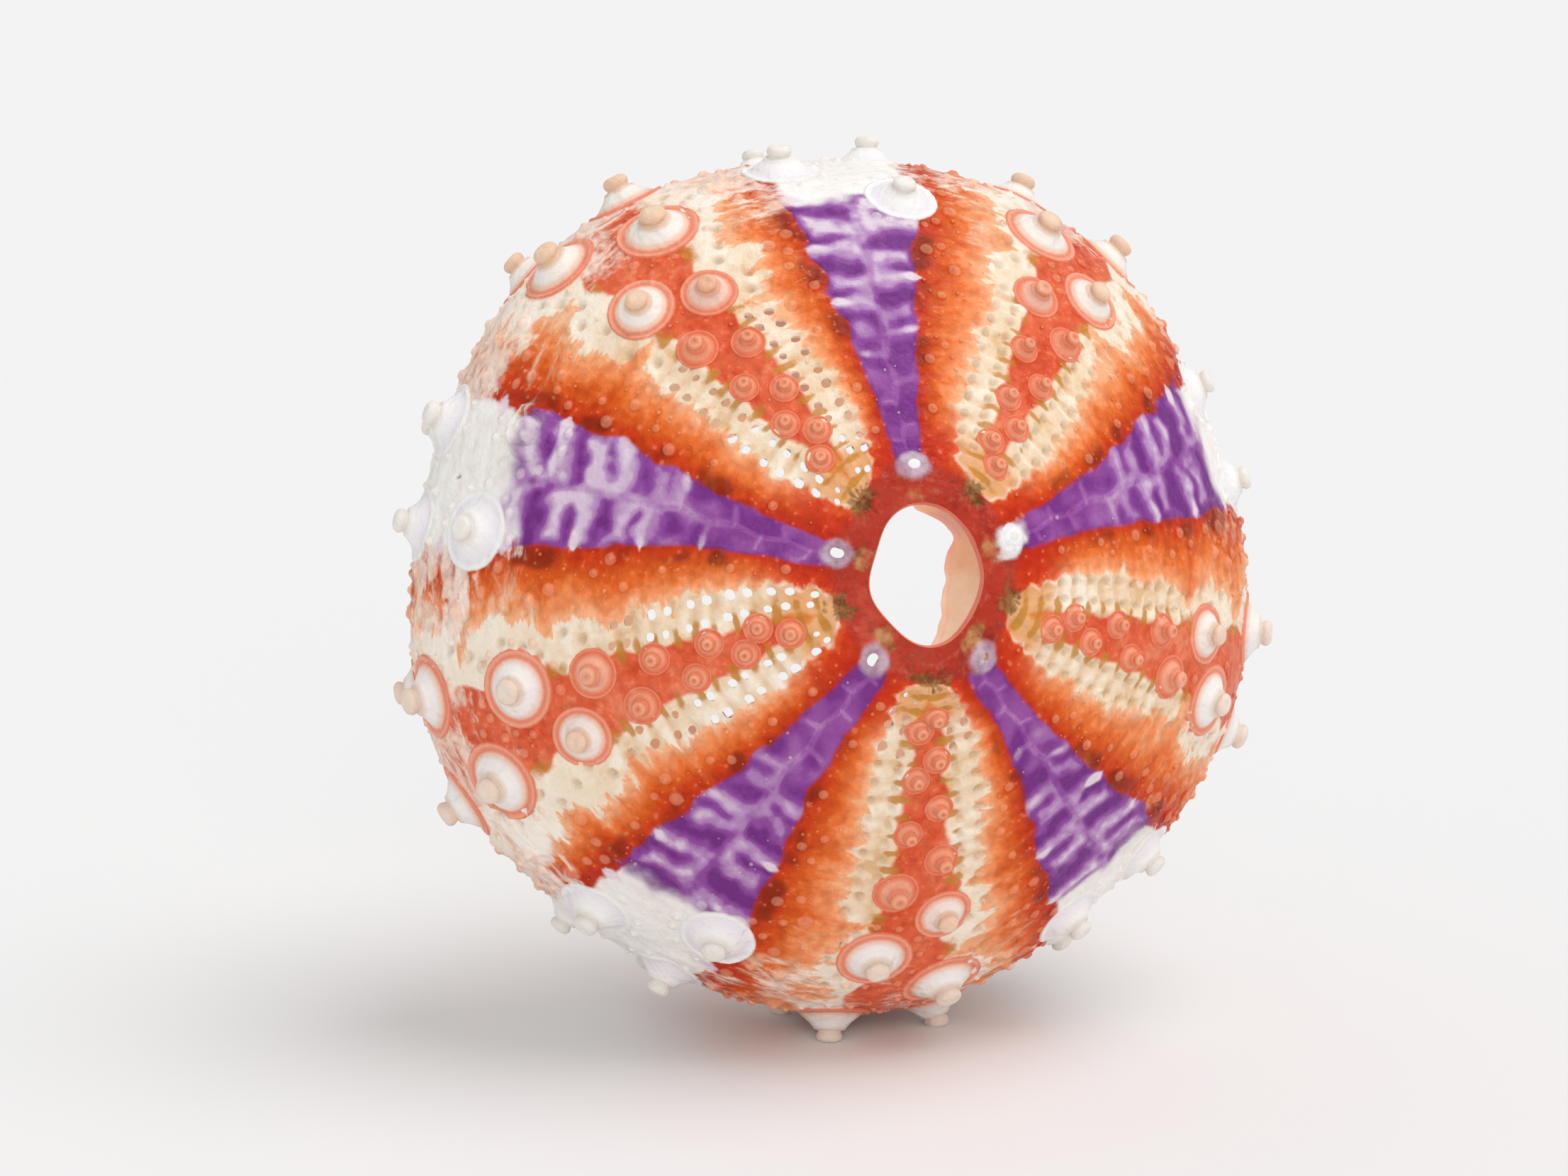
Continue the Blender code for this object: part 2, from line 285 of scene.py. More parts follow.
def pore_list():
    """(distance, turn, radius, ray, row) of every open pore, gonopores last."""
    out = []
    for k in range(5):
        for side in (1, -1):
            for n in range(11):
                for row, table in ((0, OUTER_ROW), (1, INNER_ROW)):
                    s = PORE_FIRST + PORE_STEP * (n + (0.28 if row else 0.0))
                    s += 0.006 * math.sin(3.1 * n + 1.7 * k + side)
                    wide = side * np.interp(s, *table) + 0.6 * drift_of(k, s)
                    wide += 0.0025 * math.sin(5.3 * n + 2.1 * k)
                    turn = RAY_TURN + SECTOR * k + wide / radius_at(s)
                    size = 0.0104 if row == 0 else 0.0094
                    if k in (0, 1, 2) and (k or n > 3):
                        continue
                    size *= 1 - 0.3 * float(smooth(s, 0.31, 0.26)) + 0.10 * math.sin(7.7 * n + k + 2 * side)
                    out.append((s, turn, size, k, row))
    kept = []
    for pore in out:
        s, turn = pore[0], pore[1]
        gap = np.hypot(RAY_TUBERCLES[:, 0] - s, (RAY_TUBERCLES[:, 1] - turn) * radius_at(s))
        if (gap - 0.98 * RAY_TUBERCLES[:, 2]).min() > 0.004:
            kept.append(pore)
    for k, shift in ((0, -0.9), (3, 0.6), (4, 0.4)):
        size = 0.0080 if k == 0 else 0.0128
        kept.append((0.2085, RAY_TURN + SECTOR * (k + 0.5) + math.radians(shift), size, k, 2))
    return kept


PORES = pore_list()


# -------------------------------------------------------------------- zones
def zones(s, f):
    """Float masks of the markings at points of the surface, and the height of
    its fine relief in test radii."""
    s, f = np.broadcast_arrays(np.asarray(s, float), np.asarray(f, float))
    base = place(s, f)
    r = radius_at(s)
    t = (f - RAY_TURN) / SECTOR
    k = np.round(t).astype(int)
    d = (t - k) * SECTOR
    k = k % 5
    whole = np.floor(t)
    j = whole.astype(int) % 5
    g = (t - whole - 0.5) * SECTOR
    n_low = noise(base, 9.0, 1) - 0.5
    n_mid = noise(base, 26.0, 2) - 0.5
    n_high = noise(base, 60.0, 3) - 0.5

    # violet bands and their plates
    reach = np.where(s < 1.303, r, 1.0)
    plus, minus = np.zeros_like(s), np.zeros_like(s)
    for n in range(5):
        m = j == n
        plus[m] = np.interp(reach[m], BAND_RADII, BANDS[n][0])
        minus[m] = np.interp(reach[m], BAND_RADII, BANDS[n][1])
    middle = np.radians((plus - minus) / 2)
    half = np.radians((plus + minus) / 2)
    u = (g - middle) / half
    q = np.abs(u)
    offset = np.zeros_like(s)
    for n in range(5):
        m = j == n
        offset[m] = np.where(u[m] > 0, JOINTS[n][0], JOINTS[n][1])
    slant = 0.10 * (1 - q)
    phase = plate_phase(s) - offset + slant + 0.10 * n_mid
    p = phase - np.floor(phase)
    joint = np.abs((p + 0.5) % 1.0 - 0.5)
    edge = (q - 1) * half * r
    opened = smooth(s, 0.30, 0.72)
    bulge = 0.007 * opened * np.cos(TAU * p)
    ragged = edge - bulge + 0.016 * n_mid * (0.25 + opened) + 0.006 * n_high
    orange_edge = ragged
    taper = 0.003 + 0.012 * smooth(edge, 0.020, -0.006) - 0.007 * smooth(edge, -0.010, -0.055)
    spike = bump_at(joint * plate_gap(s), 0.0, taper) * smooth(edge, 0.030, 0.002) * smooth(edge, -0.070, -0.004)
    spike = spike * opened * (1.05 + 1.8 * n_mid + 1.2 * n_low)
    violet_in = 0.008 - ragged
    warp = p + 0.09 * n_mid + 0.07 * n_low
    bar = bump_at(warp, 0.66 + 0.05 * n_low, 0.180) * smooth(q, -0.40, 0.16)
    thin = 0.78 * bump_at(warp, 0.17, 0.095) * smooth(q, 0.02, 0.50)
    rim = 0.66 * smooth(q, 0.76, 0.98) * smooth(joint, 0.05, 0.20)
    pattern = 0.12 + 0.88 * np.maximum(np.maximum(bar, thin), rim)
    pattern = 0.46 + (pattern - 0.46) * smooth(q + 0.08 * n_mid, 0.01, 0.17)
    pattern = pattern + np.array([0.12, 0.12, 0.02, -0.06, 0.10])[j]
    pattern = np.clip(pattern + 0.34 * n_mid + 0.26 * n_high + 0.30 * n_low, 0, 1)
    vein = np.maximum(bump_at(joint, 0.0, 0.060), 0.7 * bump_at(q, 0.06 + 0.10 * np.cos(TAU * p), 0.10))
    plain = np.clip(0.74 + 0.9 * n_mid + 0.5 * n_low - 0.50 * vein * smooth(q, 1.1, 0.75), 0, 1)
    mixed = smooth(s + 0.10 * n_low, 0.42, 0.68)
    dark = plain * (1 - mixed) + pattern * mixed
    fade = smooth(s + 0.10 * n_low + 0.05 * n_mid, 0.90, 1.03)

    # rays
    w = d * r
    count = np.zeros_like(s)
    for ray in range(5):
        m = k == ray
        w[m] = w[m] - drift_of(ray, s[m])
        for n, side in ((0, 1), (1, -1)):
            mm = m & ((w > 0) == (side > 0))
            cs = np.array(COLUMNS[ray][n])
            count[mm] = np.interp(s[mm], cs, np.arange(len(cs)))
    aw = np.abs(w)
    between = 0.5 + 0.5 * np.cos(TAU * (count - 0.5))
    pairs = (s - PORE_FIRST - 0.004) / PORE_STEP
    finger = 0.5 + 0.5 * np.cos(TAU * (pairs + 0.5))
    streak = between**4 * smooth(s, 0.60, 0.80)
    outward = smooth(s, 0.55, 0.9)
    petal = np.interp(s, *PETAL) - aw
    petal = petal + np.array([0.0, 0.0, 0.018, 0.034, 0.046])[k] * smooth(s, 0.62, 0.92)
    petal = petal + (0.010 + 0.02 * outward) * n_mid * 2 + 0.022 * outward * n_low * 2
    petal = petal - 0.010 * finger - (0.055 * streak) * smooth(s, 2.0, 1.2)
    salmon = np.interp(s, *MIDDLE) - aw + 0.012 * n_mid * 2
    salmon = salmon + 0.035 * streak + 0.02 * outward * n_low * 2
    ramp = np.clip(edge / np.maximum(edge + np.maximum(-petal, 0.0), 1e-3), 0, 1)
    inner = np.interp(s, *INNER_ROW)
    groove = 0.5 + 0.5 * np.cos(TAU * (pairs - 0.28 + 0.5) + 2.4 * n_low + 2.2 * n_mid)
    groove = groove * (0.75 + 0.9 * n_mid + 0.5 * n_high)
    wave = 0.5 + 0.5 * np.cos(TAU * (pairs - 0.28 + 0.5) + 1.2 * n_mid)
    dash = smooth(aw, inner - 0.056, inner - 0.024) * smooth(aw, inner + 0.022 + 0.02 * n_mid, inner - 0.010)
    dash = dash * np.clip(2.2 * wave - 1.05 + 1.5 * n_high + 0.8 * n_mid, 0, 1)
    dash = dash + 0.55 * smooth(s, 0.36, 0.25) * np.clip(1.8 * wave - 1.0 + 1.6 * n_high, 0, 1)
    dash = dash * smooth(s, 0.86, 0.70) * smooth(petal, -0.002, 0.004)
    far_dash = between**3 * smooth(s, 0.66, 0.78) * smooth(s, 1.15, 0.95) * bump_at(aw, np.interp(s, *MIDDLE) + 0.018, 0.02)
    must = np.clip(dash + 0.8 * far_dash, 0, 1)
    tip = smooth(s, 0.37, 0.27) * smooth(petal, -0.004, 0.012)
    blotch = smooth(joint, 0.02, 0.30) * bump_at(edge, 0.012 + 0.014 * s, 0.018 + 0.012 * s) * smooth(s, 0.25, 0.5)
    blotch = np.clip(blotch * (0.75 + 1.9 * n_mid + 0.8 * n_low), 0, 1) * smooth(s, 1.16, 0.92)
    bleach = np.array([0.60, 0.32, 0.70, 0.90, 0.84])[k] * smooth(s + 0.32 * n_low + 0.16 * n_mid, 0.82, 1.22)
    bleach = bleach * (1 - 0.45 * smooth(s, 1.4, 1.7))

    # apical ring
    disc = smooth(s + 0.012 * n_mid + 0.006 * np.cos(5 * (f - RAY_TURN)), 0.222, 0.200)
    ocular = np.hypot((s - 0.198) * 1.15, d * r * 0.70)
    star = 0.006 * np.cos(13 * np.arctan2(s - 0.198, d * r + 1e-9) + n_high * 3)
    ocular = smooth(ocular + star + 0.036 * n_high, 0.040, 0.008)
    speck = (f - math.radians(164.21) + math.pi) % TAU - math.pi
    ocular = np.maximum(ocular, smooth(np.hypot(s - 1.1197, speck * r), 0.0085, 0.0045))
    gono = np.hypot(s - 0.2085, (g - middle * 0.4) * r)
    rim_mask = smooth(gono + 0.006 * n_high, 0.040, 0.026)
    patch = smooth(np.hypot((s - 0.212) * 1.1, (g - 0.010) * r) + 0.050 * n_mid + 0.022 * n_high, 0.066, 0.022) * (j == 1)
    ochre = smooth(np.hypot((s - 0.158) * 1.3, g * r) + 0.030 * n_mid + 0.02 * n_high, 0.050, 0.012) * np.clip(0.7 + 1.4 * n_mid, 0, 1)

    # pits that carry on outward from the open pores; the shell material paints shade into them
    pits = np.zeros_like(s)
    steps = (s - PORE_FIRST) / 0.050
    side = np.where(w > 0, 1.0, -1.0)
    nearest = np.round(steps)
    for shift in (-1.0, 0.0, 1.0):
        n = nearest + shift
        centre_s = PORE_FIRST + 0.050 * n + 0.008 * np.sin(2.3 * n + side)
        zig = 0.020 * ((n % 3) - 1)
        centre_w = np.interp(centre_s, *PETAL) - 0.030 + zig
        gap = np.hypot(s - centre_s, aw - centre_w)
        pits = np.maximum(pits, smooth(gap, 0.0150, 0.0050))
    pits = pits * smooth(s, 0.70, 0.74) * smooth(s, 1.9, 1.3)
    faint = np.zeros_like(s)
    for shift, table in ((0.0, OUTER_ROW), (0.28, INNER_ROW)):
        centre_s = PORE_FIRST + PORE_STEP * (np.round((s - PORE_FIRST) / PORE_STEP - shift) + shift)
        gap = np.hypot(s - centre_s, aw - np.interp(centre_s, *table))
        faint = np.maximum(faint, smooth(gap, 0.0120, 0.0040))
    faint = faint * smooth(s, 0.27, 0.31) * smooth(s, 0.74, 0.70) * (k < 3)
    pits = np.maximum(pits, 0.75 * faint)

    is_orange = smooth(orange_edge, 0.0, 0.006) * smooth(petal, 0.004, -0.004)
    in_band = smooth(edge, 0.004, -0.004)
    height = 0.0040 * (1 - dark) * in_band * opened * (1 - fade)
    height = height - 0.0030 * bump_at(joint, 0.0, 0.05) * smooth(s, 0.3, 0.6) * smooth(petal, 0.0, -0.02) * smooth(s, 1.5, 1.1)
    wrinkle = np.cos(TAU * (3 * phase + 0.8 * n_low))
    height = height + 0.0012 * wrinkle * is_orange * smooth(s, 0.3, 0.5)
    height = height + 0.0032 * n_mid * is_orange + 0.0016 * n_high
    height = height + 0.0068 * (0.5 - groove) * smooth(petal, -0.004, 0.01) * smooth(salmon, 0.01, -0.01) * smooth(s, 0.80, 0.70)
    height = height - 0.0035 * smooth(petal, 0.0, 0.02) * smooth(aw, inner - 0.012, inner) * smooth(s, 0.95, 0.75)
    height = height - 0.0110 * pits + 0.005 * patch
    white = smooth(s, 0.95, 1.10) * in_band
    height = height + 0.0014 * np.sin(s * 95 + 7 * n_low) * white + 0.007 * n_mid * white
    height = height + 0.0080 * n_low * smooth(s, 0.9, 1.2)
    height = height + 0.006 * rim_mask - 0.004 * ocular + 0.003 * n_mid * disc

    return {
        "orange_edge": orange_edge, "violet_in": violet_in, "dark": dark,
        "fade": fade, "petal": petal, "salmon": salmon, "ramp": ramp,
        "must": must, "tip": tip, "blotch": blotch, "disc": disc,
        "ocular": ocular, "gono": rim_mask, "ochre": ochre, "pits": pits,
        "bleach": bleach, "patch": patch, "spike": spike, "arc": s.copy(), "across": d * r + 3.0 * k, "rib": groove * smooth(s, 0.80, 0.70),
    }, height


# ------------------------------------------------------------------- meshes
def make_object(name, verts, faces, masks, material, normals=None):
    """faces is a list of index arrays, each of one polygon size."""
    used = np.zeros(len(verts), bool)
    for a in faces:
        used[a.ravel()] = True
    index = np.cumsum(used) - 1
    verts = verts[used]
    mesh = bpy.data.meshes.new(name)
    mesh.vertices.add(len(verts))
    mesh.vertices.foreach_set("co", verts.astype(np.float32).ravel())
    loops = np.concatenate([index[a].ravel() for a in faces])
    sizes = np.concatenate([np.full(len(a), a.shape[1]) for a in faces])
    mesh.loops.add(len(loops))
    mesh.loops.foreach_set("vertex_index", loops.astype(np.int32))
    mesh.polygons.add(len(sizes))
    starts = np.concatenate([[0], np.cumsum(sizes)[:-1]])
    mesh.polygons.foreach_set("loop_start", starts.astype(np.int32))
    mesh.polygons.foreach_set("use_smooth", np.ones(len(sizes), bool))
    mesh.update(calc_edges=True)
    for key, values in masks.items():
        values = np.broadcast_to(values, used.shape)
        layer = mesh.attributes.new(key, "FLOAT", "POINT")
        layer.data.foreach_set("value", values[used].astype(np.float32))
    mesh.materials.append(material)
    if normals is not None:
        mesh.normals_split_custom_set_from_vertices(normals[used].astype(np.float32))
    obj = bpy.data.objects.new(name, mesh)
    bpy.context.scene.collection.objects.link(obj)
    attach(obj, "root")
    return obj


def grid_quads(rows, columns, wrap=True):
    i, j = np.meshgrid(np.arange(rows - 1), np.arange(columns if wrap else columns - 1), indexing="ij")
    k = (j + 1) % columns
    return np.stack([i * columns + j, (i + 1) * columns + j, (i + 1) * columns + k, i * columns + k], -1)


def grid_normals(p):
    along = np.gradient(p, axis=0)
    around = np.roll(p, -1, 1) - np.roll(p, 1, 1)
    n = np.cross(along, around)
    return n / np.maximum(np.linalg.norm(n, axis=-1, keepdims=True), 1e-12)


COLS = 720
TURNS = RAY_TURN + np.arange(COLS) * TAU / COLS
UPPER_END = 0.975
UPPER_ROWS = np.linspace(FIRST, UPPER_END, 131)
ROW_STEP = UPPER_ROWS[1] - UPPER_ROWS[0]


def pore_blocks():
    """For each pore: centre indices and half sizes of the removed block."""
    blocks, taken = [], np.zeros((len(UPPER_ROWS), COLS), bool)
    for s, turn, size, ray, row in PORES:
        i = int(round((s - FIRST) / ROW_STEP))
        j = int(round(((turn - RAY_TURN) % TAU) / (TAU / COLS)))
        step = float(radius_at(s)) * TAU / COLS
        ni = max(1, int(round(0.85 * size / ROW_STEP)))
        nj = max(1, int(round(0.85 * size / step)))
        columns = np.arange(j - nj - 1, j + nj + 2) % COLS
        zone = np.ix_(np.arange(i - ni - 1, i + ni + 2), columns)
        if taken[zone].any():
            continue
        taken[zone] = True
        blocks.append((s, turn, size, i, j, ni, nj))
    return blocks


BLOCKS = pore_blocks()


def warped_grid(grow):
    """Surface coordinates of the upper grid with its vertices drawn onto the
    pore circles, which are grow times as large."""
    s = np.repeat(UPPER_ROWS[:, None], COLS, 1)
    f = np.repeat(TURNS[None, :], len(UPPER_ROWS), 0)
    for ps, turn, size, i, j, ni, nj in BLOCKS:
        turn = turn + TAU * round((TURNS[j % COLS] - turn) / TAU)
        for di in range(-ni - 1, ni + 2):
            for dj in range(-nj - 1, nj + 2):
                m = max(abs(di) / ni, abs(dj) / nj)
                a, b = i + di, (j + dj) % COLS
                if m <= 1.0:
                    angle = math.atan2(dj / nj, di / ni)
                    reach = size * grow * m * (1 + 0.10 * math.sin(2 * angle + 9 * ps))
                    s[a, b] = ps + reach * math.cos(angle)
                    f[a, b] = turn + reach * math.sin(angle) / float(radius_at(ps))
                else:
                    s[a, b] += 0.45 * (ps - UPPER_ROWS[i])
                    f[a, b] += 0.45 * (turn - TURNS[j % COLS])
    return s, f


def without_blocks(quads):
    keep = np.ones(quads.shape[:2], bool)
    for _, _, _, i, j, ni, nj in BLOCKS:
        columns = np.arange(j - nj, j + nj) % COLS
        keep[np.ix_(np.arange(i - ni, i + ni), columns)] = False
    return keep


def thickness(s):
    return np.interp(s, (0.13, 0.22, 0.7, 1.2, 2.1), (0.020, 0.015, 0.018, 0.034, 0.034))


def block_loop(i, j, ni, nj):
    ring = [(i - ni, j + n) for n in range(-nj, nj)]
    ring += [(i + n, j + nj) for n in range(-ni, ni)]
    ring += [(i + ni, j - n) for n in range(-nj, nj)]
    ring += [(i - n, j - nj) for n in range(-ni, ni)]
    return [(a, b % COLS) for a, b in ring]


def build_walls(material):
    # upper wall, open at the pores
    s, f = warped_grid(1.0)
    masks, height = zones(s, f)
    upper = place(s, f) + normal_at(s, f) * height[..., None]
    lower_rows = np.concatenate([np.linspace(UPPER_END, 1.45, 46), np.linspace(1.45, LAST, 31)[1:]])
    ls = np.repeat(lower_rows[:, None], COLS, 1)
    lf = np.repeat(TURNS[None, :], len(lower_rows), 0)
    lower_masks, lower_height = zones(ls, lf)
    lower = place(ls, lf) + normal_at(ls, lf) * lower_height[..., None]
    upper[-1] = lower[0]
    world = to_world(np.concatenate([upper, lower[1:]], 0))
    normals = -grid_normals(world)
    flip = (normals * (world - to_world(np.zeros(3)))).sum(-1).mean() < 0
    if flip:
        normals = -normals
    n_upper = len(UPPER_ROWS)
    quads = grid_quads(n_upper, COLS)
    quads = quads[without_blocks(quads)]
    lower_quads = grid_quads(len(lower_rows), COLS).reshape(-1, 4)
    if not flip:
        quads, lower_quads = quads[:, ::-1], lower_quads[:, ::-1]
    plain = {"rho": 2.0, "tone": 0.0, "bead": 0.0, "pale": 0.0}

    def flat(m):
        return {**{key: v.ravel() for key, v in m.items()}, **plain}

    crown = make_object("shell_crown", world[:n_upper].reshape(-1, 3), [quads], flat(masks), material,
                        normals[:n_upper].reshape(-1, 3))
    base = make_object("shell_base", world[n_upper - 1:].reshape(-1, 3), [lower_quads], flat(lower_masks),
                       material, normals[n_upper - 1:].reshape(-1, 3))
    return crown, base, upper, lower, flip


def build_lining(material, upper, lower, flip):
    """The inside, the tunnels of the pores and both rims."""
    verts, faces, masks = [], [], []
    total = 0

    def add(points, quads, rim):
        nonlocal total
        verts.append(points.reshape(-1, 3))
        faces.append(quads.reshape(-1, 4) + total)
        masks.append(np.broadcast_to(rim, points.shape[:-1]).ravel())
        total += verts[-1].shape[0]

    s, f = warped_grid(1.35)
    n_fine = int(np.searchsorted(UPPER_ROWS, 0.76))
    fine_s, fine_f = s[:n_fine].copy(), f[:n_fine]
    inner = place(fine_s, fine_f) - normal_at(fine_s, fine_f) * thickness(fine_s)[..., None]
    # crown rim: a half round from the outer edge to the lining
    outer_edge = upper[0]
    inner_edge = inner[0]
    middle = (outer_edge + inner_edge) / 2
    across = (outer_edge - inner_edge) / 2
    inward = -np.stack([np.cos(f[0]), np.sin(f[0]), np.zeros(COLS)], -1)
    rim = [middle + across * math.cos(a) + inward * np.linalg.norm(across, axis=-1, keepdims=True) * 0.25 * math.sin(a)
           for a in np.linspace(0, math.pi, 9)]
    rim = np.array(rim)
    quads = grid_quads(9, COLS)
    add(rim, quads[..., ::-1], np.linspace(1.0, 0.8, 9)[:, None])
    start = total
    quads = grid_quads(n_fine, COLS)
    keep = without_blocks(grid_quads(len(UPPER_ROWS), COLS))[: n_fine - 1]
    # glow marks red painted as a glow of light through the red wall: full on the crown rim, fading on the lining by the
    # crown hole, faint on the mouth rim
    glow = smooth(fine_s, 0.160, 0.130)
    add(inner, quads[keep][:, ::-1], glow)
    # tunnels
    for ps, turn, size, i, j, ni, nj in BLOCKS:
        ring = block_loop(i, j, ni, nj)
        count = len(ring)
        top = np.array([upper[a, b] for a, b in ring])
        low = np.array([inner[a, b] for a, b in ring])
        mid = top * 0.75 + low * 0.25
        points = np.stack([top, mid, low], 0)
        add(points, grid_quads(3, count)[..., ::-1], 0.0)
    # the rest of the inside, coarser
    cols = 360
    turns = RAY_TURN + np.arange(cols) * TAU / cols
    rows = np.concatenate([[UPPER_ROWS[n_fine - 1]], np.linspace(0.80, LAST, 46)])
    rs = np.repeat(rows[:, None], cols, 1)
    rf = np.repeat(turns[None, :], len(rows), 0)
    ribs = 0.004 * smooth(rs, 1.2, 1.9) * np.cos(10 * (rf - RAY_TURN))
    rest = place(rs, rf) - normal_at(rs, rf) * (thickness(rs) + ribs)[..., None]
    rest[0] = inner[-1][::2]
    add(rest, grid_quads(len(rows), cols)[..., ::-1], 0.0)
    # mouth rim
    outer_edge = lower[-1][::2]
    inner_edge = rest[-1]
    middle = (outer_edge + inner_edge) / 2
    across = (inner_edge - outer_edge) / 2
    inward = -np.stack([np.cos(turns), np.sin(turns), np.zeros(cols)], -1)
    rim = [middle + across * math.cos(a) + inward * np.linalg.norm(across, axis=-1, keepdims=True) * 0.8 * math.sin(a)
           for a in np.linspace(0, math.pi, 8)]
    add(np.array(rim), grid_quads(8, cols)[..., ::-1], 0.3 * np.ones((8, 1)))
    verts = np.concatenate(verts)
    faces = [np.concatenate(faces)]
    if flip:
        faces = [faces[0][:, ::-1]]
    around = np.arctan2(verts[:, 1], verts[:, 0])
    masks = {"glow": np.concatenate(masks), "ray": np.cos(5 * (around - RAY_TURN))}
    return make_object("shell_lining", to_world(verts), faces, masks, material)


# Turned profile of a tubercle: (radius, height) in ring radii.
PROFILE = np.array([
    (0.05, 0.722), (0.10, 0.738), (0.155, 0.728), (0.205, 0.700), (0.243, 0.650), (0.262, 0.585),
    (0.258, 0.520), (0.236, 0.462), (0.222, 0.425), (0.240, 0.402), (0.300, 0.390), (0.332, 0.362),
    (0.352, 0.325), (0.430, 0.268), (0.520, 0.205), (0.610, 0.138), (0.685, 0.080), (0.742, 0.042),
    (0.800, 0.020), (0.860, 0.018), (0.905, 0.034), (0.945, 0.060), (0.985, 0.050), (1.030, 0.000),
    (1.075, -0.110),
])
SMALL = np.array([(0.16, 0.46), (0.30, 0.41), (0.42, 0.27), (0.55, 0.16), (0.80, 0.10), (0.97, 0.03), (1.08, -0.16)])
GRAIN = np.array([(0.45, 0.62), (0.80, 0.36), (1.0, -0.10)])
WORN = np.array([(0.12, 0.40), (0.26, 0.43), (0.36, 0.34), (0.42, 0.16), (0.52, 0.13), (0.62, 0.24), (0.74, 0.25),
                 (0.86, 0.13), (0.96, 0.05), (1.08, -0.14)])
CRUST = np.array([(0.20, 0.50), (0.42, 0.46), (0.62, 0.36), (0.80, 0.20), (0.92, 0.06), (1.04, -0.14)])


def turned_pieces(name, spots, profile, top, segments, material, tone, bead, low=None, squat=None, pale=None, fat=None, rough=0.0):
    """Lathe shapes set on the surface. spots holds (distance, turn, radius)."""
    spots = np.asarray(spots, float)
    count, rings = len(spots), len(profile)
    s0, f0, size = (spots[:, n][:, None, None] for n in range(3))
    tall = spots[:, -1][:, None, None]
    turn = np.arange(segments) * TAU / segments
    rho = profile[:, 0][None, :, None]
    lift = profile[:, 1][None, :, None]
    if squat is not None:
        factor = np.asarray(squat)[:, None, None]
        lift = np.where(lift > 0.06, 0.06 + (lift - 0.06) * factor, lift)
    reach = rho * size
    if fat is not None:
        reach = reach * (1 + (np.asarray(fat)[:, None, None] - 1) * smooth(rho, 0.55, 0.26))
    ds, dw = reach * np.cos(turn)[None, None], reach * np.sin(turn)[None, None]
    r0 = radius_at(s0)
    s, f = s0 + ds, f0 + dw / np.maximum(radius_at(s0 + 0.5 * ds), 0.05)
    s = np.clip(s, 0.12, LAST + 0.03)
    masks, height = zones(s, f)
    if rough:
        height = height + rough * (noise(place(s, f), 48.0, 5) + 0.6 * noise(place(s, f), 110.0, 6) - 0.8) * smooth(rho, 1.0, 0.8)
    _, height0 = zones(spots[:, 0], spots[:, 1])
    height0 = height0[:, None, None]
    stick = smooth(rho, 0.95, 0.60)
    height = height * (1 - stick) + (height0 if not rough else height) * stick
    up = lift * tall
    if low is not None:
        up = np.where(lift > 0, up * low[:, None, None], up)
    conform = place(s, f) + normal_at(s, f) * (up + height)[..., None]
    here = place(s0, f0)
    n0 = normal_at(s0, f0)
    ex = place(s0 + 0.004, f0) - place(s0 - 0.004, f0)
    ex = ex / np.linalg.norm(ex, axis=-1, keepdims=True)
    ey = np.cross(n0, ex)
    sign = np.sign((ey * (place(s0, f0 + 0.01) - here)).sum(-1, keepdims=True))
    ey = ey * sign
    rigid = here + ex * ds[..., None] + ey * dw[..., None] + n0 * (up + height)[..., None]
    blend = smooth(rho, 0.95, 0.55)[..., None]
    local = conform * (1 - blend) + rigid * blend
    apex_up = (profile[0, 1] if top is None else top)
    if squat is not None:
        apex_up = 0.06 + (apex_up - 0.06) * np.asarray(squat)[:, None]
    apex_up = np.broadcast_to(apex_up, (count, 1)) * spots[:, -1][:, None]
    if low is not None:
        apex_up = apex_up * low[:, None]
    pole = here[:, 0, 0] + n0[:, 0, 0] * (apex_up + height0[:, 0])
    world = to_world(np.concatenate([pole[:, None], local.reshape(count, -1, 3)], 1))
    world[..., 2] = np.maximum(world[..., 2], 0.0)
    block = 1 + rings * segments
    i, j = np.meshgrid(np.arange(rings - 1), np.arange(segments), indexing="ij")
    k = (j + 1) % segments
    quad = 1 + np.stack([i * segments + j, (i + 1) * segments + j, (i + 1) * segments + k, i * segments + k], -1)
    quad = quad.reshape(-1, 4)
    fan = np.stack([np.zeros(segments, int), 1 + np.arange(segments), 1 + (np.arange(segments) + 1) % segments], -1)
    base = (np.arange(count) * block)[:, None, None]
    quads = (quad[None] + base).reshape(-1, 4)
    fans = (fan[None] + base).reshape(-1, 3)
    # faces turn outward: test one quad of the first shape
    a, b, c = world.reshape(-1, 3)[quads[segments * 4 % len(quads)]][:3]
    centre = to_world(np.zeros(3))
    shape_normal = np.cross(b - a, c - a)
    if shape_normal @ (to_world(here[0, 0, 0] + n0[0, 0, 0]) - to_world(here[0, 0, 0])) < 0:
        quads, fans = quads[:, ::-1], fans[:, ::-1]

    def with_pole(grid, pole_value):
        grid = np.broadcast_to(grid, (count, rings, segments)).reshape(count, -1)
        pole_value = np.broadcast_to(pole_value, (count,))
        return np.concatenate([pole_value[:, None], grid], 1).ravel()

    out = {key: with_pole(v, v[:, 0].mean(-1)) for key, v in masks.items()}
    out["rho"] = with_pole(rho if bead == 0 else 2.0, 0.0 if bead == 0 else 2.0)
    out["tone"] = with_pole(np.asarray(tone, float)[:, None, None], np.asarray(tone, float))
    # the bead value rises toward each piece's middle, where the shell material paints a highlight
    out["bead"] = with_pole(bead * smooth(rho, 1.0, 0.55), bead)
    pale = np.zeros(count) if pale is None else np.asarray(pale, float)
    out["pale"] = with_pole(pale[:, None, None], pale)
    return make_object(name, world.reshape(-1, 3), [quads, fans], out, material)


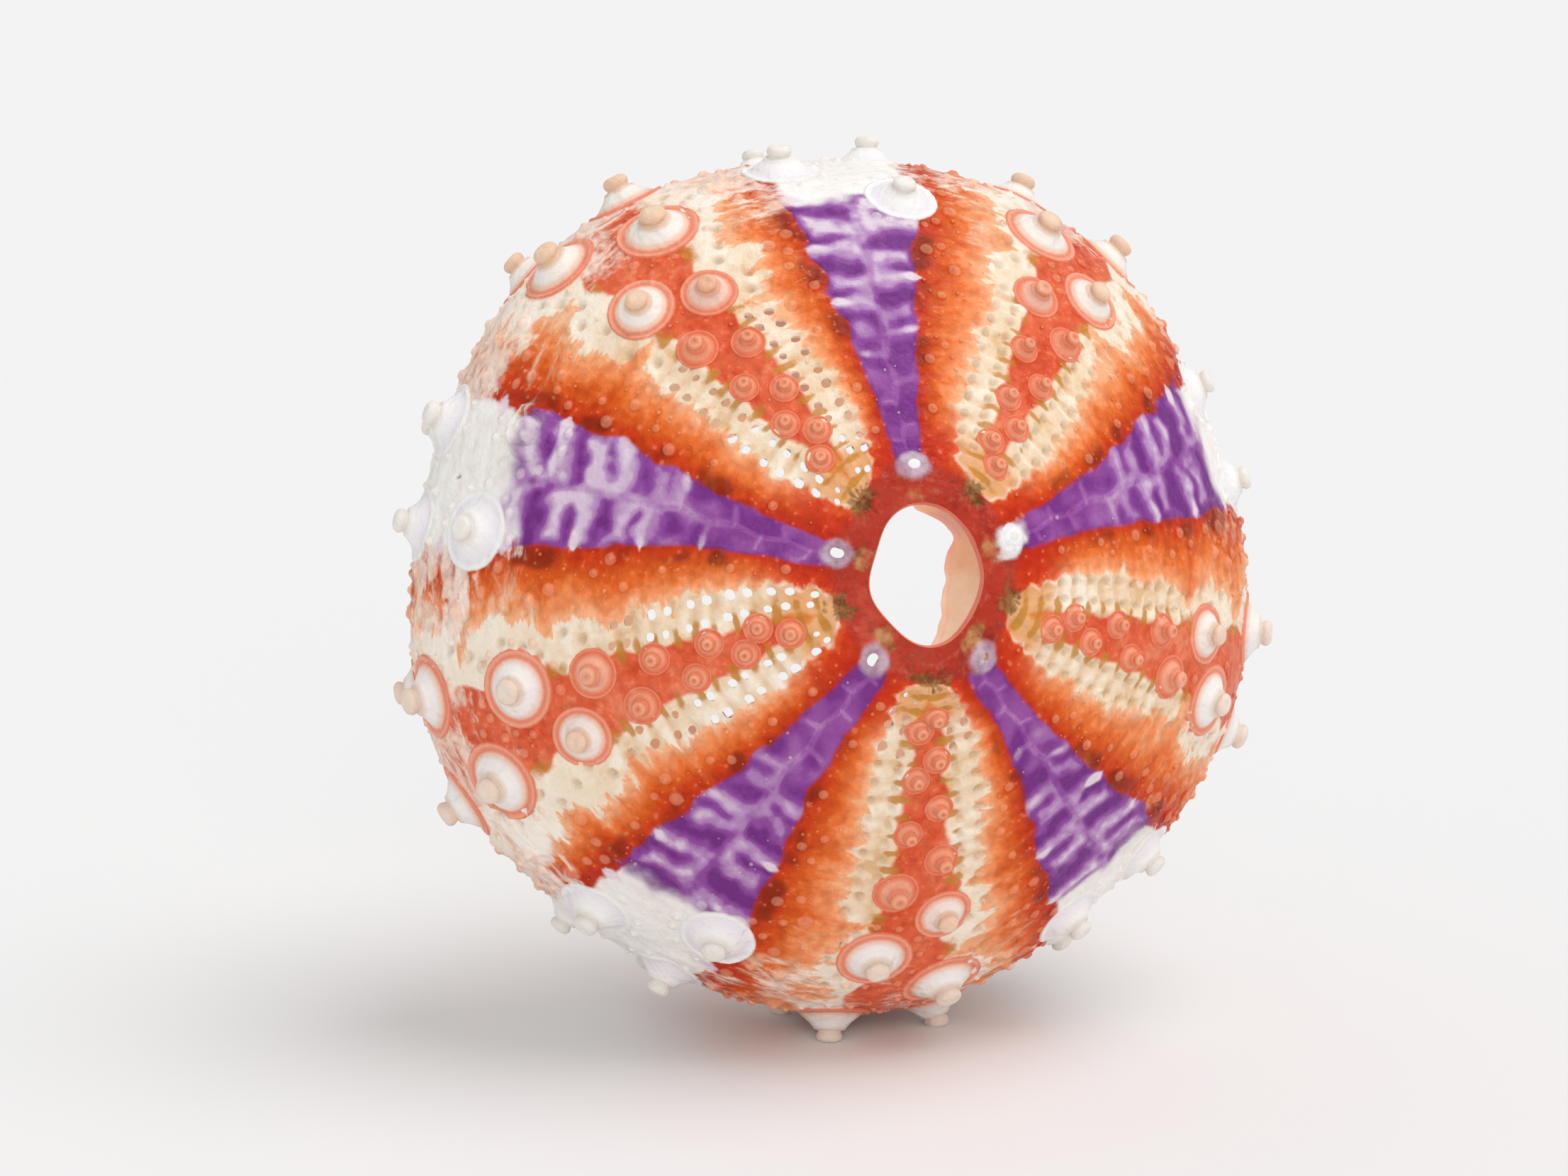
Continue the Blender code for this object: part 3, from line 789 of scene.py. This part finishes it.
def ground_stretch(spots):
    """Tips near the ground are worn to it, as in the CAD part."""
    here = place(spots[:, 0], spots[:, 1])
    n = normal_at(spots[:, 0], spots[:, 1])
    tip = to_world(here + n * (0.74 * spots[:, 3])[:, None])
    down = to_world(n) - to_world(np.zeros(3))
    down = down[:, 2] / np.linalg.norm(down, axis=-1)
    out = np.ones(len(spots))
    close = tip[:, 2] < REACH
    out[close] = 1 + (tip[close, 2] + FLAT_DEPTH) / -down[close] / (0.74 * spots[close, 3] * TEST_RADIUS)
    return out


def clear_of(spot, others, margin):
    if not len(others):
        return True
    others = np.asarray(others)
    gap = np.hypot(others[:, 0] - spot[0], (((others[:, 1] - spot[1] + math.pi) % TAU) - math.pi) * radius_at(spot[0]))
    return bool((gap - others[:, 2] - spot[2] * margin).min() > 0)


def small_spots(rng):
    """Secondary tubercles: one or more per plate in the orange bands, then
    rings round the large bosses."""
    spots = []
    taken = [tuple(t[:3]) for t in ALL_TUBERCLES] + [(p[0], p[1] % TAU, p[2] * 1.6) for p in PORES]
    taken = [(a, b % TAU, c) for a, b, c in taken]

    def offer(s, turn, size, margin=1.0):
        spot = (s, turn % TAU, size)
        if FIRST + 0.09 < s < LAST - 0.05 and clear_of(spot, taken, margin):
            spots.append(spot)
            taken.append(spot)

    for field in range(5):
        for n, side in ((0, 1), (1, -1)):
            width = np.interp(PROFILE_R, BAND_RADII, BANDS[field][n])
            phases = plate_phase(PROFILE_S) - JOINTS[field][n]
            for plate in range(int(phases[500]), int(phases[-1]) + 1):
                for along, away, size, start in (
                    (0.42, 0.034, 0.0165, 0.24), (0.70, 0.064, 0.0120, 0.45), (0.25, 0.085, 0.0145, 0.62),
                    (0.60, 0.110, 0.0170, 0.80), (0.10, 0.040, 0.0120, 0.80), (0.85, 0.030, 0.0130, 0.95),
                    (0.35, 0.145, 0.0160, 1.00), (0.90, 0.100, 0.0130, 0.90),
                ):
                    target = plate + along + 0.10 * rng.uniform(-1, 1)
                    s = float(np.interp(target, phases, PROFILE_S))
                    if s < start or s > 1.9 or rng.uniform() > 0.86:
                        continue
                    half = float(np.interp(radius_at(s) if s < 1.303 else 1.0, BAND_RADII, BANDS[field][n]))
                    away = away * (0.8 + 0.35 * s) + 0.008 * rng.uniform(-1, 1)
                    turn = RAY_TURN + SECTOR * (field + 0.5)
                    turn += side * (math.radians(half) + away / float(radius_at(s)))
                    grown = size * (0.72 + 0.62 * float(smooth(s, 0.35, 1.2))) * rng.uniform(0.85, 1.12)
                    offer(s, turn, 1.22 * grown, 1.02)
    for s, turn, size, _ in ALL_TUBERCLES:
        if s < 0.86:
            continue
        number = 11
        for n in range(number):
            angle = TAU * (n + 0.3 * rng.uniform(-1, 1)) / number
            small = 0.0150 * rng.uniform(0.75, 1.15)
            reach = size + small * 1.25
            where = s + reach * math.cos(angle)
            if not 0.80 < where < LAST - 0.05:
                continue
            offer(where, turn + reach * math.sin(angle) / float(radius_at(where)), small, 0.9)
    return spots, taken


def grain_spots(rng, taken):
    """Fine granules over the plates, fewer in the violet bands and petals."""
    out = []
    taken = np.array(taken)
    tries = 4200
    s = np.sqrt(rng.uniform(0.23**2, 1.0, tries)) * 0.0
    s = 0.23 + (LAST - 0.28) * rng.uniform(0, 1, tries) ** 0.9
    f = rng.uniform(0, TAU, tries)
    size = 0.0030 + 0.0042 * rng.uniform(0, 1, tries) ** 2
    masks, _ = zones(s, f)
    keep = rng.uniform(0, 1, tries) < np.where(
        masks["orange_edge"] < 0, 0.12, np.where((masks["petal"] > 0) & (masks["salmon"] < 0), 0.10, 0.62)
    ) * np.where(s > 1.0, 0.75, 1.0) * np.clip(radius_at(s) * 1.3, 0, 1)
    for a, b, c in zip(s[keep], f[keep], size[keep]):
        gap = np.hypot(taken[:, 0] - a, (((taken[:, 1] - b + math.pi) % TAU) - math.pi) * radius_at(a))
        if (gap - taken[:, 2] * 1.02 - c).min() > 0:
            out.append((a, b, c))
    return out


# ---------------------------------------------------------------- materials
def lin(r, g, b):
    out = []
    for v in (r, g, b):
        v = v / 255
        out.append(v / 12.92 if v <= 0.04045 else ((v + 0.055) / 1.055) ** 2.4)
    return (*out, 1.0)


class Nodes:
    """Short calls for building a node tree."""

    def __init__(self, name):
        self.material = bpy.data.materials.new(name)
        self.material.use_nodes = True
        self.tree = self.material.node_tree
        self.shader = self.tree.nodes["Principled BSDF"]
        self.coords = self.tree.nodes.new("ShaderNodeTexCoord").outputs["Object"]

    def put(self, socket, value):
        if isinstance(value, bpy.types.NodeSocket):
            self.tree.links.new(value, socket)
        else:
            socket.default_value = value

    def attribute(self, name):
        node = self.tree.nodes.new("ShaderNodeAttribute")
        node.attribute_name = name
        return node.outputs["Fac"]

    def math(self, operation, a, b=None, c=None, clamp=False):
        node = self.tree.nodes.new("ShaderNodeMath")
        node.operation = operation
        node.use_clamp = clamp
        for socket, value in zip(node.inputs, (a, b, c)):
            if value is not None:
                self.put(socket, value)
        return node.outputs[0]

    def add(self, a, b):
        return self.math("ADD", a, b)

    def mul(self, a, b):
        return self.math("MULTIPLY", a, b)

    def step(self, x, low, high, to_low=0.0, to_high=1.0):
        node = self.tree.nodes.new("ShaderNodeMapRange")
        node.interpolation_type = "SMOOTHSTEP"
        for socket, value in zip(node.inputs, (x, low, high, to_low, to_high)):
            self.put(socket, value)
        return node.outputs[0]

    def mix(self, factor, a, b, mode="MIX"):
        node = self.tree.nodes.new("ShaderNodeMix")
        node.data_type = "RGBA"
        node.blend_type = mode
        self.put(node.inputs[0], factor)
        self.put(node.inputs[6], a)
        self.put(node.inputs[7], b)
        return node.outputs[2]

    def noise(self, scale, detail=2.0, roughness=0.5, distortion=0.0, vector=None):
        node = self.tree.nodes.new("ShaderNodeTexNoise")
        node.inputs["Scale"].default_value = scale
        node.inputs["Detail"].default_value = detail
        node.inputs["Roughness"].default_value = roughness
        node.inputs["Distortion"].default_value = distortion
        self.put(node.inputs["Vector"], self.coords if vector is None else vector)
        return node.outputs[0]

    def ramp(self, factor, stops, smooth_stops=True):
        node = self.tree.nodes.new("ShaderNodeValToRGB")
        node.color_ramp.interpolation = "EASE" if smooth_stops else "LINEAR"
        elements = node.color_ramp.elements
        while len(elements) < len(stops):
            elements.new(0.5)
        for element, (position, colour) in zip(elements, stops):
            element.position = position
            element.color = lin(*colour)
        self.put(node.inputs[0], factor)
        return node.outputs[0]


def shell_material():
    m = Nodes("urchin_shell")
    coarse = m.noise(260.0, 3.0, 0.55)
    middle = m.noise(900.0, 3.0, 0.6)
    fine = m.noise(2600.0, 2.0, 0.6)
    a = {key: m.attribute(key) for key in (
        "orange_edge", "violet_in", "dark", "fade", "petal", "salmon", "ramp", "must", "tip", "blotch",
        "disc", "ocular", "gono", "ochre", "pits", "arc", "rho", "tone", "bead", "pale", "across", "rib", "spike", "bleach", "patch")}
    middle0 = m.add(middle, -0.5)
    fine0 = m.add(fine, -0.5)
    coarse0 = m.add(coarse, -0.5)
    wobble = m.add(m.mul(middle0, 0.030), m.mul(fine0, 0.014))
    # fibres run across the rays: fine along the meridian, long sideways
    grid = m.tree.nodes.new("ShaderNodeCombineXYZ")
    m.put(grid.inputs[0], m.mul(a["arc"], 34.0))
    m.put(grid.inputs[1], m.mul(a["across"], 11.0))
    m.put(grid.inputs[2], m.mul(coarse0, 1.2))
    fibre = m.add(m.noise(1.0, 4.0, 0.65, 0.6, grid.outputs[0]), -0.5)
    outward = m.step(a["arc"], 0.28, 0.60)

    cream = m.ramp(m.add(middle, m.mul(coarse0, 0.9)), [(0.22, (224, 186, 140)), (0.44, (238, 214, 184)), (0.68, (245, 233, 214))])
    cream = m.mix(m.step(m.add(a["rib"], m.mul(middle0, 0.6)), 0.30, 1.0, 0.0, 0.50), cream, lin(222, 172, 118))
    cream = m.mix(m.step(a["arc"], 0.70, 1.05, 0.0, 0.8), cream, lin(244, 232, 214))
    salmon = m.ramp(m.add(coarse, m.add(m.mul(middle0, 0.6), m.mul(fine0, 0.5))), [(0.3, (214, 78, 40)), (0.52, (226, 100, 62)), (0.78, (236, 134, 98))])
    colour = m.mix(m.step(m.add(a["salmon"], m.mul(wobble, 0.7)), -0.006, 0.008), cream, salmon)
    colour = m.mix(m.step(m.add(a["tip"], m.mul(middle0, 0.8)), 0.15, 1.0, 0.0, 0.72), colour, lin(224, 146, 66))
    colour = m.mix(m.step(m.add(a["must"], m.mul(fine0, 0.7)), 0.22, 0.85, 0.0, 0.85), colour, lin(196, 132, 46))
    grit = m.add(m.mul(middle0, 0.75), m.mul(fine0, 0.60))
    orange = m.ramp(m.add(a["ramp"], m.add(m.mul(fibre, 0.48), m.add(m.mul(coarse0, 0.36), m.mul(grit, 0.50)))), [
        (0.02, (188, 44, 2)), (0.17, (206, 62, 6)), (0.36, (214, 86, 18)), (0.54, (230, 112, 46)),
        (0.74, (240, 142, 86)), (0.95, (246, 176, 130))])
    worn = m.add(coarse0, m.add(m.mul(fibre, 0.7), m.mul(m.add(a["arc"], -0.85), 0.35)))
    orange = m.mix(m.step(worn, 0.10, 0.34, 0.0, 0.62), orange, lin(246, 214, 184))
    inner_orange = m.ramp(m.add(a["ramp"], m.add(m.mul(coarse0, 0.6), grit)), [(0.0, (190, 38, 2)), (0.7, (206, 54, 8)), (1.0, (222, 84, 26))])
    orange = m.mix(m.step(a["arc"], 0.42, 0.26), orange, inner_orange)
    finger = m.mul(m.mul(fibre, outward), 0.16)
    colour = m.mix(m.step(m.add(m.add(a["petal"], wobble), finger), 0.009, -0.007), colour, orange)
    umber = m.step(m.add(a["blotch"], m.add(m.mul(grit, 1.2), m.mul(fibre, 0.6))), 0.18, 0.98, 0.0, 0.78)
    umber = m.mul(umber, m.step(a["blotch"], 0.0, 0.06))
    colour = m.mix(umber, colour, lin(128, 32, 2))
    olive = m.step(m.add(coarse0, m.mul(grit, 0.5)), 0.08, 0.32, 0.0, 0.32)
    olive = m.mul(olive, m.step(a["petal"], 0.0, -0.02))
    colour = m.mix(olive, colour, lin(196, 104, 20))
    fading = m.step(m.add(a["bleach"], m.add(m.mul(fibre, 1.5), m.add(m.mul(coarse0, 0.9), m.mul(grit, 0.5)))), 0.46, 0.86, 0.0, 0.80)
    fading = m.mul(fading, m.step(a["bleach"], 0.0, 0.12))
    colour = m.mix(fading, colour, m.mix(m.step(coarse, 0.35, 0.65), lin(247, 228, 208), lin(249, 240, 230)))
    white = m.mix(m.step(coarse, 0.3, 0.7), lin(239, 234, 228), lin(247, 245, 241))
    colour = m.mix(m.step(m.add(a["orange_edge"], m.mul(wobble, 0.5)), -0.021, -0.007), white, colour)
    tone = m.add(a["dark"], m.add(m.mul(middle0, 0.45), m.mul(fine0, 0.25)))
    violet = m.ramp(tone, [(0.04, (204, 178, 204)), (0.36, (178, 134, 184)), (0.66, (142, 72, 154)), (0.98, (112, 42, 126))])
    violet_near = m.ramp(tone, [(0.08, (176, 120, 176)), (0.42, (150, 80, 156)), (0.90, (120, 46, 132))])
    violet = m.mix(m.step(a["arc"], 0.38, 0.66), violet_near, violet)
    violet = m.mix(m.mul(m.step(tone, 0.40, 0.08, 0.0, 0.62), m.step(a["arc"], 0.60, 0.92)), violet, lin(232, 218, 228))
    inside = m.step(m.add(a["violet_in"], m.mul(wobble, 0.30)), -0.002, 0.009)
    inside = m.mul(inside, m.step(m.add(a["fade"], m.mul(middle0, 0.5)), 0.85, 0.15))
    colour = m.mix(inside, colour, violet)
    spike = m.step(m.add(a["spike"], m.add(m.mul(middle0, 0.7), m.mul(fine0, 0.4))), 0.25, 1.0, 0.0, 0.92)
    colour = m.mix(spike, colour, lin(232, 214, 224))
    grain = m.tree.nodes.new("ShaderNodeTexVoronoi")
    grain.feature = "SMOOTH_F1"
    grain.inputs["Scale"].default_value = 2100.0
    m.put(grain.inputs["Vector"], m.coords)
    cells = grain.outputs["Distance"]
    banded = m.math("MAXIMUM", m.step(a["petal"], 0.0, -0.02), m.step(a["salmon"], 0.0, 0.02))
    banded = m.mul(banded, m.step(a["orange_edge"], -0.004, 0.006))
    # painted shade in the lowered edges of the voronoi cells and a painted highlight on their raised centres, strongest
    # in the orange and salmon bands
    painted_cell_shade = m.mul(m.step(cells, 0.30, 0.75, 0.0, 0.42), m.add(m.mul(banded, 0.8), 0.2))
    colour = m.mix(painted_cell_shade, colour, (0.62, 0.50, 0.42, 1.0), "MULTIPLY")
    painted_cell_highlight = m.mul(m.step(cells, 0.26, 0.06, 0.0, 0.30), banded)
    colour = m.mix(painted_cell_highlight, colour, lin(250, 170, 124))
    # apical ring
    disc = m.ramp(m.add(coarse, m.mul(middle0, 0.6)), [(0.3, (150, 38, 26)), (0.5, (178, 50, 30)), (0.75, (200, 78, 56))])
    disc = m.mix(m.step(m.add(fibre, m.mul(fine0, 0.8)), 0.02, 0.30, 0.0, 0.40), disc, lin(222, 116, 96))
    disc = m.mix(m.step(m.add(middle0, m.mul(fine0, 0.7)), 0.02, 0.26, 0.0, 0.45), disc, lin(122, 30, 24))
    colour = m.mix(a["disc"], colour, disc)
    colour = m.mix(m.step(m.add(a["ochre"], m.mul(fine0, 1.2)), 0.1, 1.0, 0.0, 0.75), colour, m.mix(m.step(middle, 0.35, 0.65), lin(128, 84, 34), lin(204, 158, 104)))
    bleached = m.step(m.add(a["patch"], m.add(m.mul(middle0, 0.5), m.mul(fine0, 0.4))), 0.10, 0.80, 0.0, 0.92)
    colour = m.mix(m.mul(a["gono"], 0.9), colour, m.mix(m.step(middle, 0.3, 0.7), lin(160, 124, 142), lin(206, 184, 198)))
    colour = m.mix(m.step(m.add(a["ocular"], fine0), 0.2, 0.9, 0.0, 0.80), colour, m.mix(m.step(m.add(middle, m.mul(fine0, 0.8)), 0.35, 0.70), lin(84, 58, 26), lin(150, 116, 60)))
    colour = m.mix(bleached, colour, m.mix(m.step(middle, 0.3, 0.7), lin(214, 204, 204), lin(238, 234, 232)))
    # pits: painted shade in the dimples and the closed pores
    colour = m.mix(m.mul(a["pits"], 0.50), colour, lin(206, 172, 134))

    # tubercles; the ramps paint shade in the crater and at the neck, and a highlight on the crest of the ring
    near = m.ramp(a["rho"], [
        (0.0, (204, 112, 80)), (0.10, (226, 140, 106)), (0.18, (236, 162, 128)), (0.26, (228, 142, 108)),
        (0.32, (224, 124, 88)), (0.44, (234, 154, 120)), (0.62, (236, 156, 122)), (0.76, (232, 130, 96)),
        (0.86, (230, 118, 84)), (0.96, (236, 142, 108)), (1.0, (228, 112, 76))])
    far = m.ramp(a["rho"], [
        (0.0, (236, 208, 180)), (0.22, (232, 194, 160)), (0.30, (226, 196, 172)), (0.40, (240, 234, 226)),
        (0.60, (240, 232, 222)), (0.72, (238, 198, 176)), (0.83, (232, 136, 106)), (0.94, (240, 164, 136)),
        (1.0, (230, 122, 90))])
    boss = m.mix(m.step(m.add(a["tone"], m.mul(coarse0, 0.3)), 0.15, 0.85), near, far)
    bare = m.ramp(a["rho"], [
        (0.0, (238, 234, 226)), (0.28, (234, 229, 222)), (0.42, (243, 241, 239)), (0.80, (236, 231, 235)),
        (0.93, (246, 243, 243)), (1.0, (238, 234, 230))])
    core = m.step(a["rho"], 0.80, 0.62)
    boss = m.mix(m.mul(a["pale"], m.math("MAXIMUM", core, m.step(a["pale"], 0.7, 0.9))), boss, bare)
    worn_boss = m.mul(m.step(m.add(middle, m.mul(fine0, 0.6)), 0.55, 0.85, 0.0, 0.30), m.step(a["pale"], 0.9, 0.7))
    boss = m.mix(worn_boss, boss, lin(246, 214, 190))
    colour = m.mix(m.step(m.add(a["rho"], m.mul(middle0, 0.06)), 1.055, 0.985), colour, boss)
    # beads, each with a painted highlight lighter toward its middle
    bead = m.mix(m.step(a["bead"], 0.35, 0.95), lin(216, 88, 44), lin(246, 176, 140))
    bead = m.mix(m.step(a["orange_edge"], 0.01, -0.01), bead, lin(242, 236, 230))
    bead = m.mix(m.mul(m.step(a["arc"], 0.9, 1.15), 0.35), bead, lin(244, 214, 192))
    colour = m.mix(m.step(a["bead"], 0.05, 0.95, 0.0, 0.34), colour, bead)
    m.put(m.shader.inputs["Base Color"], colour)
    m.shader.inputs["Subsurface Weight"].default_value = 0.12
    m.shader.inputs["Subsurface Radius"].default_value = (1.0, 0.45, 0.30)
    m.shader.inputs["Subsurface Scale"].default_value = 0.0004
    m.shader.inputs["Specular IOR Level"].default_value = 0.16
    m.put(m.shader.inputs["Roughness"], m.step(middle, 0.2, 0.8, 0.32, 0.50))
    bump = m.tree.nodes.new("ShaderNodeBump")
    bump.inputs["Strength"].default_value = 0.65
    bump.inputs["Distance"].default_value = 0.00026
    m.put(bump.inputs["Height"], m.add(m.add(m.mul(fine, 0.5), m.mul(middle, 1.0)), m.mul(cells, m.add(m.mul(banded, -0.55), -0.15))))
    m.put(m.shader.inputs["Normal"], bump.outputs[0])
    return m.material


def lining_material():
    m = Nodes("urchin_lining")
    coarse = m.noise(220.0, 3.0, 0.55)
    middle = m.noise(1200.0, 2.0, 0.6)
    colour = m.ramp(m.add(coarse, m.mul(m.add(middle, -0.5), 0.5)), [(0.3, (226, 202, 176)), (0.55, (236, 220, 202)), (0.8, (242, 234, 222))])
    tint = m.step(m.add(m.attribute("ray"), m.mul(m.add(coarse, -0.5), 0.8)), 0.35, -0.30, 0.0, 0.34)
    colour = m.mix(tint, colour, lin(232, 160, 118))
    keel = m.step(m.add(m.attribute("ray"), m.mul(m.add(coarse, -0.5), 0.3)), -0.80, -0.96, 0.0, 0.30)
    colour = m.mix(keel, colour, lin(176, 128, 176))
    # painted glow: red on the rims and on the lining round the crown hole
    colour = m.mix(m.mul(m.attribute("glow"), 0.92), colour, m.mix(middle, lin(206, 82, 60), lin(224, 118, 92)))
    m.put(m.shader.inputs["Base Color"], colour)
    m.shader.inputs["Roughness"].default_value = 0.6
    m.shader.inputs["Specular IOR Level"].default_value = 0.2
    # painted light: the lining emits a faint warm light, standing in for light let through the thin wall
    m.shader.inputs["Emission Color"].default_value = lin(255, 212, 178)
    m.shader.inputs["Emission Strength"].default_value = 0.03
    m.shader.inputs["Subsurface Weight"].default_value = 0.12
    m.shader.inputs["Subsurface Radius"].default_value = (1.0, 0.45, 0.30)
    m.shader.inputs["Subsurface Scale"].default_value = 0.0008
    bump = m.tree.nodes.new("ShaderNodeBump")
    bump.inputs["Strength"].default_value = 0.3
    bump.inputs["Distance"].default_value = 0.0001
    m.put(bump.inputs["Height"], middle)
    m.put(m.shader.inputs["Normal"], bump.outputs[0])
    return m.material


# ------------------------------------------------------------------- studio
def build_studio():
    bpy.ops.mesh.primitive_plane_add(size=12.0, location=(0, 0, 0))
    floor = bpy.context.object
    floor.name = "studio_floor"
    material = bpy.data.materials.new("studio_floor")
    material.use_nodes = True
    shader = material.node_tree.nodes["Principled BSDF"]
    shader.inputs["Base Color"].default_value = (0.845, 0.845, 0.845, 1)
    shader.inputs["Roughness"].default_value = 0.9
    shader.inputs["Specular IOR Level"].default_value = 0.0
    floor.data.materials.append(material)

    world = bpy.data.worlds.new("studio")
    bpy.context.scene.world = world
    world.use_nodes = True
    tree = world.node_tree
    for node in list(tree.nodes):
        tree.nodes.remove(node)
    out = tree.nodes.new("ShaderNodeOutputWorld")
    seen = tree.nodes.new("ShaderNodeBackground")
    seen.inputs[0].default_value = lin(243, 243, 243)
    light = tree.nodes.new("ShaderNodeBackground")
    light.inputs[0].default_value = (1.0, 1.0, 1.0, 1)
    light.inputs[1].default_value = 0.62
    path = tree.nodes.new("ShaderNodeLightPath")
    mix = tree.nodes.new("ShaderNodeMixShader")
    tree.links.new(path.outputs["Is Camera Ray"], mix.inputs[0])
    tree.links.new(light.outputs[0], mix.inputs[1])
    tree.links.new(seen.outputs[0], mix.inputs[2])
    tree.links.new(mix.outputs[0], out.inputs[0])

    def sun(name, direction, strength, angle):
        data = bpy.data.lights.new(name, "SUN")
        data.energy = strength
        data.angle = math.radians(angle)
        obj = bpy.data.objects.new(name, data)
        bpy.context.scene.collection.objects.link(obj)
        obj.rotation_mode = "QUATERNION"
        obj.rotation_quaternion = Vector(direction).normalized().to_track_quat("Z", "Y")
        return obj

    sun("key", (0.40, -0.22, 1.0), 1.30, 45)
    sun("front", (-0.15, -1.0, 0.30), 0.70, 40)
    inner = bpy.data.lights.new("glow", "POINT")
    inner.energy = 0.003
    inner.shadow_soft_size = 0.005
    inner.color = (1.0, 0.96, 0.90)
    glow = bpy.data.objects.new("glow", inner)
    glow.location = CENTRE + np.array([0.0, 0.001, 0.0])
    glow.visible_camera = False
    bpy.context.scene.collection.objects.link(glow)

    scene = bpy.context.scene
    scene.view_settings.view_transform = "Standard"
    scene.view_settings.look = "None"


def build_camera():
    a, e = math.radians(-14.38), math.radians(7.252)
    right = Vector((math.cos(a), math.sin(a), 0))
    up = Vector((-math.sin(a) * math.sin(e), math.cos(a) * math.sin(e) * -1, math.cos(e)))
    back = Vector((math.sin(a) * math.cos(e), -math.cos(a) * math.cos(e), math.sin(e)))
    up = back.cross(right)
    where = Vector(CENTRE) - right * 0.1294 * TEST_RADIUS - up * 0.0162 * TEST_RADIUS + back * 5.78 * TEST_RADIUS
    data = bpy.data.cameras.new("camera")
    data.sensor_fit = "HORIZONTAL"
    data.sensor_width = 36.0
    data.lens = 56.34
    data.clip_start = 0.01
    data.clip_end = 50.0
    camera = bpy.data.objects.new("camera", data)
    bpy.context.scene.collection.objects.link(camera)
    turn = Matrix((right, up, back)).transposed().to_4x4()
    camera.matrix_world = Matrix.Translation(where) @ turn
    bpy.context.scene.camera = camera


def main():
    rng = np.random.default_rng(7)
    shell = shell_material()
    lining = lining_material()
    crown, base, upper, lower, flip = build_walls(shell)
    build_lining(lining, upper, lower, flip)
    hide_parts("urchin_test")

    ray_s = RAY_TUBERCLES[:, 0]
    tone = np.asarray(smooth(ray_s, 0.62, 0.93))
    ray_of = np.round((RAY_TUBERCLES[:, 1] - RAY_TURN) / SECTOR).astype(int) % 5
    pale_of = np.array([0.55, 0.65, 0.15, 0.10, 0.50])[ray_of] * np.asarray(smooth(ray_s, 0.70, 0.95))
    squat = np.asarray(1 - 0.40 * smooth(ray_s, 1.70, 1.74))
    fat = 1.52 - 0.27 * np.asarray(smooth(ray_s, 0.60, 0.95))
    turned_pieces("tubercles_rays", RAY_TUBERCLES, PROFILE, 0.712, 24, shell, tone, 0.0,
                  low=ground_stretch(RAY_TUBERCLES), squat=squat, pale=pale_of,
                  fat=fat)
    whole = FIELD_TUBERCLES[np.abs(FIELD_TUBERCLES[:, 0] - FIELDS[3][1]) > 1e-6]
    turned_pieces("tubercles_fields", whole, PROFILE, 0.724, 24, shell, np.ones(len(whole)), 0.0,
                  low=ground_stretch(whole), pale=np.ones(len(whole)),
                  squat=1 - 0.40 * np.asarray(smooth(whole[:, 0], 1.70, 1.74)), fat=np.full(len(whole), 1.22))
    worn_at = RAY_TURN + SECTOR * 3.5 - math.radians(7.8)
    turned_pieces("tubercle_worn", [(0.935, worn_at, 0.070, 0.095)], WORN, 0.36, 28, shell, [0.0], 0.35, rough=0.018)
    crust = [(0.214, RAY_TURN + SECTOR * 1.5 + 0.012, 0.030, 0.009), (0.206, RAY_TURN + SECTOR * 1.5 - 0.10, 0.020, 0.006)]
    turned_pieces("calcite_crust", crust, CRUST, 0.50, 24, shell, np.zeros(2), 0.0, pale=np.ones(2), rough=0.004)
    fill = [(0.2085, RAY_TURN + SECTOR * 0.5 - 0.09, 0.0075)]
    plug = [(0.2075, RAY_TURN + SECTOR * 2.5 + 0.014, 0.0125, 0.004)]
    turned_pieces("pore_plug", plug, CRUST, 0.50, 16, shell, np.zeros(1), 0.0, pale=np.ones(1), rough=0.001)
    turned_pieces("pore_fill", fill, CRUST, 0.50, 12, shell, np.zeros(1), 0.6, rough=0.004)
    spots, taken = small_spots(rng)
    turned_pieces("tubercles_small", spots, SMALL, 0.47, 11, shell, np.zeros(len(spots)), 1.0)
    grains = grain_spots(rng, taken)
    turned_pieces("granules", grains, GRAIN, 0.74, 7, shell, np.zeros(len(grains)), 0.9)
    build_studio()
    build_camera()
    for obj in sorted(bpy.data.objects, key=lambda o: o.name):
        if obj.type == "MESH":
            print("piece", obj.name, "triangles", sum(len(p.vertices) - 2 for p in obj.data.polygons))


main()
